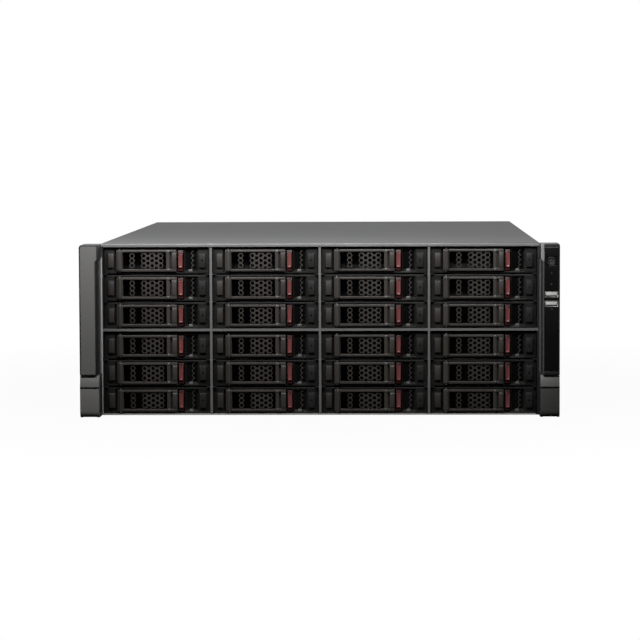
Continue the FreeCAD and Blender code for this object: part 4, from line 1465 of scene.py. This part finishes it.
jack = block("jack", (0, jack_wide), behind, on_board(jack_tall))
cut_lines(jack, x=sorted((*jack_mouth["x"], *jack_notch["x"])), z=(*jack_mouth["z"], jack_notch["z"][1]))
choose(jack, "FACE", in_jack)
push("y", -13.6)
jack_parts = [finished(jack, nickel, 0.25)]
contact_y = (rear - 12.6, rear - 3.0)
contact_z = (board_top + 1.9, board_top + 2.6)
for k in range(jack_contacts):
    x = 4.4 + jack_contact_step * k
    contact = block("contact", (x - 0.2, x + 0.2), contact_y, contact_z)
    jack_parts.append(finished(contact, gilt, 0.08))
for x, glass in ((1.0, light_green), (11.8, light_amber)):
    window = block("window", (x, x + 3.2), (rear - 2.0, rear + 0.8), (board_top + 11.2, board_top + 12.9))
    jack_parts.append(finished(window, glass, 0.2, 2))
jack = together("jack", jack_parts)
for number, x in enumerate(jack_places, 1):
    piece = copied(jack, "network_jack_%d" % number, (x, 0, 0))
    fit(piece, "chassis", "connector_steel", nickel, "io_connectors")
bpy.data.objects.remove(jack)


def screen_port(name, x, insert, rows, pitch, pin_finish, pin_end):
    """A D-shaped socket: flange, shell, an insert with rows of pins or holes, and two hexagonal nuts."""
    base = finished(block(name, (x, x + port_wide), behind, on_board(port_tall)), nickel, 0.4, 2)
    left, right = (x + edge for edge in port_shell)
    shell = block("shell", (left, right), (rear + 0.5, rear + 6.0), (board_top + 2.2, board_top + 10.3))
    for edge, lean in ((left, port_lean), (right, -port_lean)):
        choose(shell, "VERT", lambda place, way: abs(place.x - edge) < 0.1 and place.z < board_top + 2.3)
        bpy.ops.transform.translate(value=along("x", lean * mm))
    round_edges(shell, 1.4, 4, lambda place, way: abs(way.y) > 0.9)
    pick(shell, "+y")
    inset(0.5)
    push("y", -port_depth)
    soften(shell, 0.15, 1)
    coat(shell, nickel, insert)
    pick(shell, "+y", y=(rear, rear + 5.9))
    paint(shell, 1)
    parts = [base, shell]
    for row, count in enumerate(rows):
        for k in range(count):
            u = x + port_wide / 2 + (k - (count - 1) / 2) * pitch
            v = board_top + 6.3 + ((len(rows) - 1) / 2 - row) * port_row
            parts.append(finished(rod("pin", "y", (u, v), 0.45, rear + 1.0, pin_end, 10), pin_finish, 0.12))
    for u in (x + 3.0, x + port_wide - 3.0):
        nut = rod("nut", "y", (u, board_top + port_tall / 2), 2.8, rear + 0.5, rear + 5.6, 6)
        sink(nut, "+y", 1.2, 0.1, 3.0)
        parts.append(finished(nut, nickel, 0.2))
    fit(together(name, parts), "chassis", "connector_steel", nickel, "io_connectors")


screen_port("screen_socket", screen_place, tongue_blue, (5, 5, 5), 2.3, socket_black, rear + 5.45)
screen_port("serial_socket", serial_place, socket_black, (5, 4), 2.7, gilt, rear + 5.2)

# Power supplies
# Two plug-in units in a zinc cage: a sheet steel case, an inlet with three blades, a fan
# behind a wire guard, an air window and two eyes for the folding handle.
inlet_x = (5.0, 29.0)
inlet_z = (4.0, 20.4)
inlet_depth = 17.0
inlet_blades = ((-7.0, -1.4), (0.0, 2.6), (7.0, -1.4))
supply_vent_z = (25.0, 38.0)
supply_vent_depth = 6.0
guard_radius = 14.5
guard_depth = 12.0
guard_rings = (5.0, 9.6, 14.2)
guard_wire = 0.5
supply_tall = 42.0
eye_wide = 2.4
supply_zinc = sheet_finish("supply_zinc", (0.36, 0.36, 0.355), 0.42, (0.05, 1, 1))


def power_supply(number):
    """One supply with everything on its rear face."""
    low, high = box_of("psu_%d" % number)
    bail_low, bail_high = box_of("psu_%d_handle" % number)
    face = rear + 1.5
    guard_y = face - 0.3
    fan = ((bail_low.x + bail_high.x) / 2, low.z + supply_tall / 2)
    mouth_x = [low.x + u for u in inlet_x]
    mouth_z = [low.z + v for v in inlet_z]
    vent_z = [low.z + v for v in supply_vent_z]
    case = block("case", (low.x, high.x), (low.y, face), (low.z, high.z))
    round_edges(case, 0.8, 2, lambda place, way: abs(way.y) > 0.9)
    cut_lines(case, x=mouth_x, z=mouth_z + vent_z)
    for heights, depth in ((mouth_z, inlet_depth), (vent_z, supply_vent_depth)):
        pick(case, "+y", x=mouth_x, z=heights)
        push("y", -depth)
    soften(case, 0.25)
    drill(case, "y", fan, guard_radius, face - guard_depth, face + 1, 40)
    coat(case, supply_zinc)
    border = block(
        "border", (mouth_x[0] - 2, mouth_x[1] + 2), (face - 0.4, face + 1.0),
        (mouth_z[0] - 2, mouth_z[1] + 2))
    cut_lines(border, x=mouth_x, z=mouth_z)
    tunnel(border, "y", x=mouth_x, z=mouth_z)
    parts = [case, finished(border, socket_black, 0.4, 2)]
    for u, v in inlet_blades:
        x = low.x + sum(inlet_x) / 2 + u
        z = low.z + sum(inlet_z) / 2 + v
        blade = block("blade", (x - 1, x + 1), (face - inlet_depth, face - 2.5), (z - 2, z + 2))
        parts.append(finished(blade, nickel, 0.4, 2))
    columns = [mouth_x[0] + k * column_step for k in range(7)]
    net = honeycomb("net", columns, 3, face - 0.5, sum(vent_z) / 2, 0.8, x=mouth_x, z=vent_z)
    coat(net, supply_zinc)
    parts.append(net)
    for radius in guard_rings:
        ring = wire_ring("guard", (fan[0], guard_y, fan[1]), radius, guard_wire, 40)
        coat(ring, nickel)
        parts.append(ring)
    for axis, centre, middle in (("x", (guard_y, fan[1]), fan[0]), ("z", (fan[0], guard_y), fan[1])):
        wire = rod("wire", axis, centre, guard_wire, middle - guard_radius, middle + guard_radius, 10)
        parts.append(finished(wire, nickel, 0.15))
    hub = rod("small_hub", "y", (0, 0), 5.5, face - guard_depth, face - 3.0, 24)
    soften(hub, 0.6)
    blades = rotor_of("small", fan_blade("small_blade", 5.0, 13.6, face - 7.0, 2.6, 0.36, 0.3, 0.8))
    rotor = together("small", [blades, hub])
    rotor.data.transform(Matrix.Translation((fan[0] * mm, 0, fan[1] * mm)))
    coat(rotor, fan_plastic)
    parts.append(rotor)
    for x in (bail_low.x - 0.7, bail_high.x + 0.7 - eye_wide):
        eye = block("eye", (x, x + eye_wide), (face - 0.2, high.y), (high.z - 7.4, high.z - 2.6))
        round_edges(eye, 2.0, 4, lambda place, way: abs(way.x) > 0.9 and place.y > face + 0.1)
        parts.append(finished(eye, supply_zinc, 0.2))
    light = rod("light", "y", (low.x + 33.2, low.z + 6.0), 1.2, face - 0.5, face + 0.4, 16)
    parts.append(finished(light, light_green, 0.2, 2))
    piece = together("supply_case_%d" % number, parts)
    fit(piece, "supply_%d" % number, "supply_steel", supply_zinc, "psu_%d" % number)


# Supply handles
# A bail of dark coated wire, bent to a U and sprung into the eyes of each supply; it hangs
# against the supply and swings up to pull it out.
bail_bar = 3.0
bail_stub = 1.9
bail_pivot = 1.2
bail_inside = 3.0
bail_outside = 5.5
bail_coat = coat_finish("bail_coat", (0.03, 0.03, 0.032), 0.35, 1200, 0.00004)


def bail(number):
    """One bent wire handle with its two stubs."""
    name = "psu_%d_handle" % number
    low, high = box_of(name)
    span = (low.x + bail_stub, high.x - bail_stub)
    hollow = (span[0] + bail_bar, span[1] - bail_bar)
    axis = ((low.y + high.y) / 2, high.z - bail_bar / 2)

    def outer_corner(place, way):
        outside = place.x < span[0] + 0.1 or place.x > span[1] - 0.1
        return abs(way.y) > 0.9 and place.z < low.z + 0.1 and outside

    wire = block("bail", span, (low.y, high.y), (low.z, high.z))
    cutter = block("hollow", hollow, (low.y - 1, high.y + 1), (low.z + bail_bar, high.z + 1))
    round_edges(
        cutter, bail_inside, 5, lambda place, way: abs(way.y) > 0.9 and place.z < low.z + bail_bar + 0.1)
    carve(wire, cutter)
    round_edges(wire, bail_outside, 6, outer_corner)
    soften(wire, 1.3, 4, 50)
    parts = [wire]
    for start, end in ((low.x, span[0] + 1), (span[1] - 1, high.x)):
        parts.append(rod("pivot", "x", axis, bail_pivot, start, end, 20))
    piece = together("supply_bail_%d" % number, parts)
    fit(piece, "supply_%d_bail" % number, "handle_plastic", bail_coat, name)


for number in (1, 2):
    power_supply(number)
    bail(number)

# Camera and lamps
# A camera with a long lens in front and a little above; a large soft lamp overhead, a long narrow
# one above the front edge, from the left, and low ones that light the rear and the sides.
lens_pixels = 2643.0
picture_width = 640.0
eye = Vector((69.1, front - 2680.0, 284.9))
yaw = radians(-1.475)
pitch = radians(-4.01)
roll = radians(-0.22)
fill_height = 90.0
fill_size = (900, 140)
fill_watts = 4.0
camera = bpy.data.objects.new("camera", bpy.data.cameras.new("camera"))
scene.collection.objects.link(camera)
camera.data.sensor_width = 36.0
camera.data.lens = camera.data.sensor_width * lens_pixels / picture_width
camera.data.clip_end = 50.0
turn = Matrix.Rotation(-yaw, 4, "Z")
turn = turn @ Matrix.Rotation(pi / 2 + pitch, 4, "X") @ Matrix.Rotation(roll, 4, "Z")
camera.matrix_world = Matrix.Translation(eye * mm) @ turn
scene.camera = camera


def lamp(name, place, aim, size, watts):
    """A soft rectangular lamp at a place in millimetres that the camera doesn't see."""
    light = bpy.data.lights.new(name, "AREA")
    light.shape = "RECTANGLE"
    light.size = size[0] * mm
    light.size_y = size[1] * mm
    light.energy = watts
    holder = bpy.data.objects.new(name, light)
    way = (Vector(aim) - Vector(place)).normalized()
    turn = way.to_track_quat("-Z", "Y").to_matrix().to_4x4()
    holder.matrix_world = Matrix.Translation(Vector(place) * mm) @ turn
    holder.visible_camera = False
    scene.collection.objects.link(holder)


lamp("overhead", (0, front + 330, 1100), (0, front + 330, 0), (1400, 900), 6.4)
lamp("front_edge", (-100, front - 240, 335), (-80, front, 275), (760, 60), 3.2)
lamp("rear_fill", (0, rear + 700, fill_height), (0, rear, fill_height), fill_size, fill_watts)
for side in (-1, 1):
    aim = (side * half, amid, fill_height)
    lamp("side_fill", (side * 920, amid, fill_height), aim, fill_size, fill_watts)

# Floor and backdrop
# A white paper sweep: it shows as plain white, keeps the object's soft shadow close by, and
# gives the object little light from below.
paper_grey = (0.04, 0.04, 0.04, 1)
paper_glow = 0.965
glow_near = 0.36
glow_far = 0.75
room_level = 0.03
clear()
bpy.ops.mesh.primitive_plane_add(size=40)
floor = settle("floor")
white = bpy.data.materials.new("white_table")
white.use_nodes = True
tree = white.node_tree
tree.nodes.clear()
paper = tree.nodes.new("ShaderNodeBsdfDiffuse")
paper.inputs["Color"].default_value = paper_grey
glow = tree.nodes.new("ShaderNodeEmission")
path = tree.nodes.new("ShaderNodeLightPath")
where = tree.nodes.new("ShaderNodeTexCoord")
away = tree.nodes.new("ShaderNodeVectorMath")
away.operation = "LENGTH"
mix = tree.nodes.new("ShaderNodeMixShader")
out = tree.nodes.new("ShaderNodeOutputMaterial")
tree.links.new(where.outputs["Object"], away.inputs[0])
share = spread(tree, away.outputs["Value"], paper_glow, 1.0, glow_near, glow_far)
tree.links.new(combined(tree, "MULTIPLY", share, path.outputs["Is Camera Ray"]), mix.inputs["Fac"])
tree.links.new(paper.outputs["BSDF"], mix.inputs[1])
tree.links.new(glow.outputs["Emission"], mix.inputs[2])
tree.links.new(mix.outputs["Shader"], out.inputs["Surface"])
coat(floor, white)

world = bpy.data.worlds.new("backdrop")
scene.world = world
world.use_nodes = True
tree = world.node_tree
backdrop = tree.nodes["Background"]
backdrop.inputs["Color"].default_value = (1, 1, 1, 1)
path = tree.nodes.new("ShaderNodeLightPath")
way = tree.nodes.new("ShaderNodeTexCoord")
parts = tree.nodes.new("ShaderNodeSeparateXYZ")
tree.links.new(way.outputs["Generated"], parts.inputs["Vector"])
mirror = combined(tree, "MAXIMUM", path.outputs["Is Glossy Ray"], path.outputs["Is Transmission Ray"])
from_behind = spread(tree, parts.outputs["Y"], 0.0, 1.0, -0.2, 0.3)
reflected = combined(tree, "MULTIPLY", mirror, from_behind)
shown = combined(tree, "MAXIMUM", path.outputs["Is Camera Ray"], reflected)
tree.links.new(spread(tree, shown, room_level, 1.0, 0.0, 1.0), backdrop.inputs["Strength"])
scene.view_settings.view_transform = "Standard"
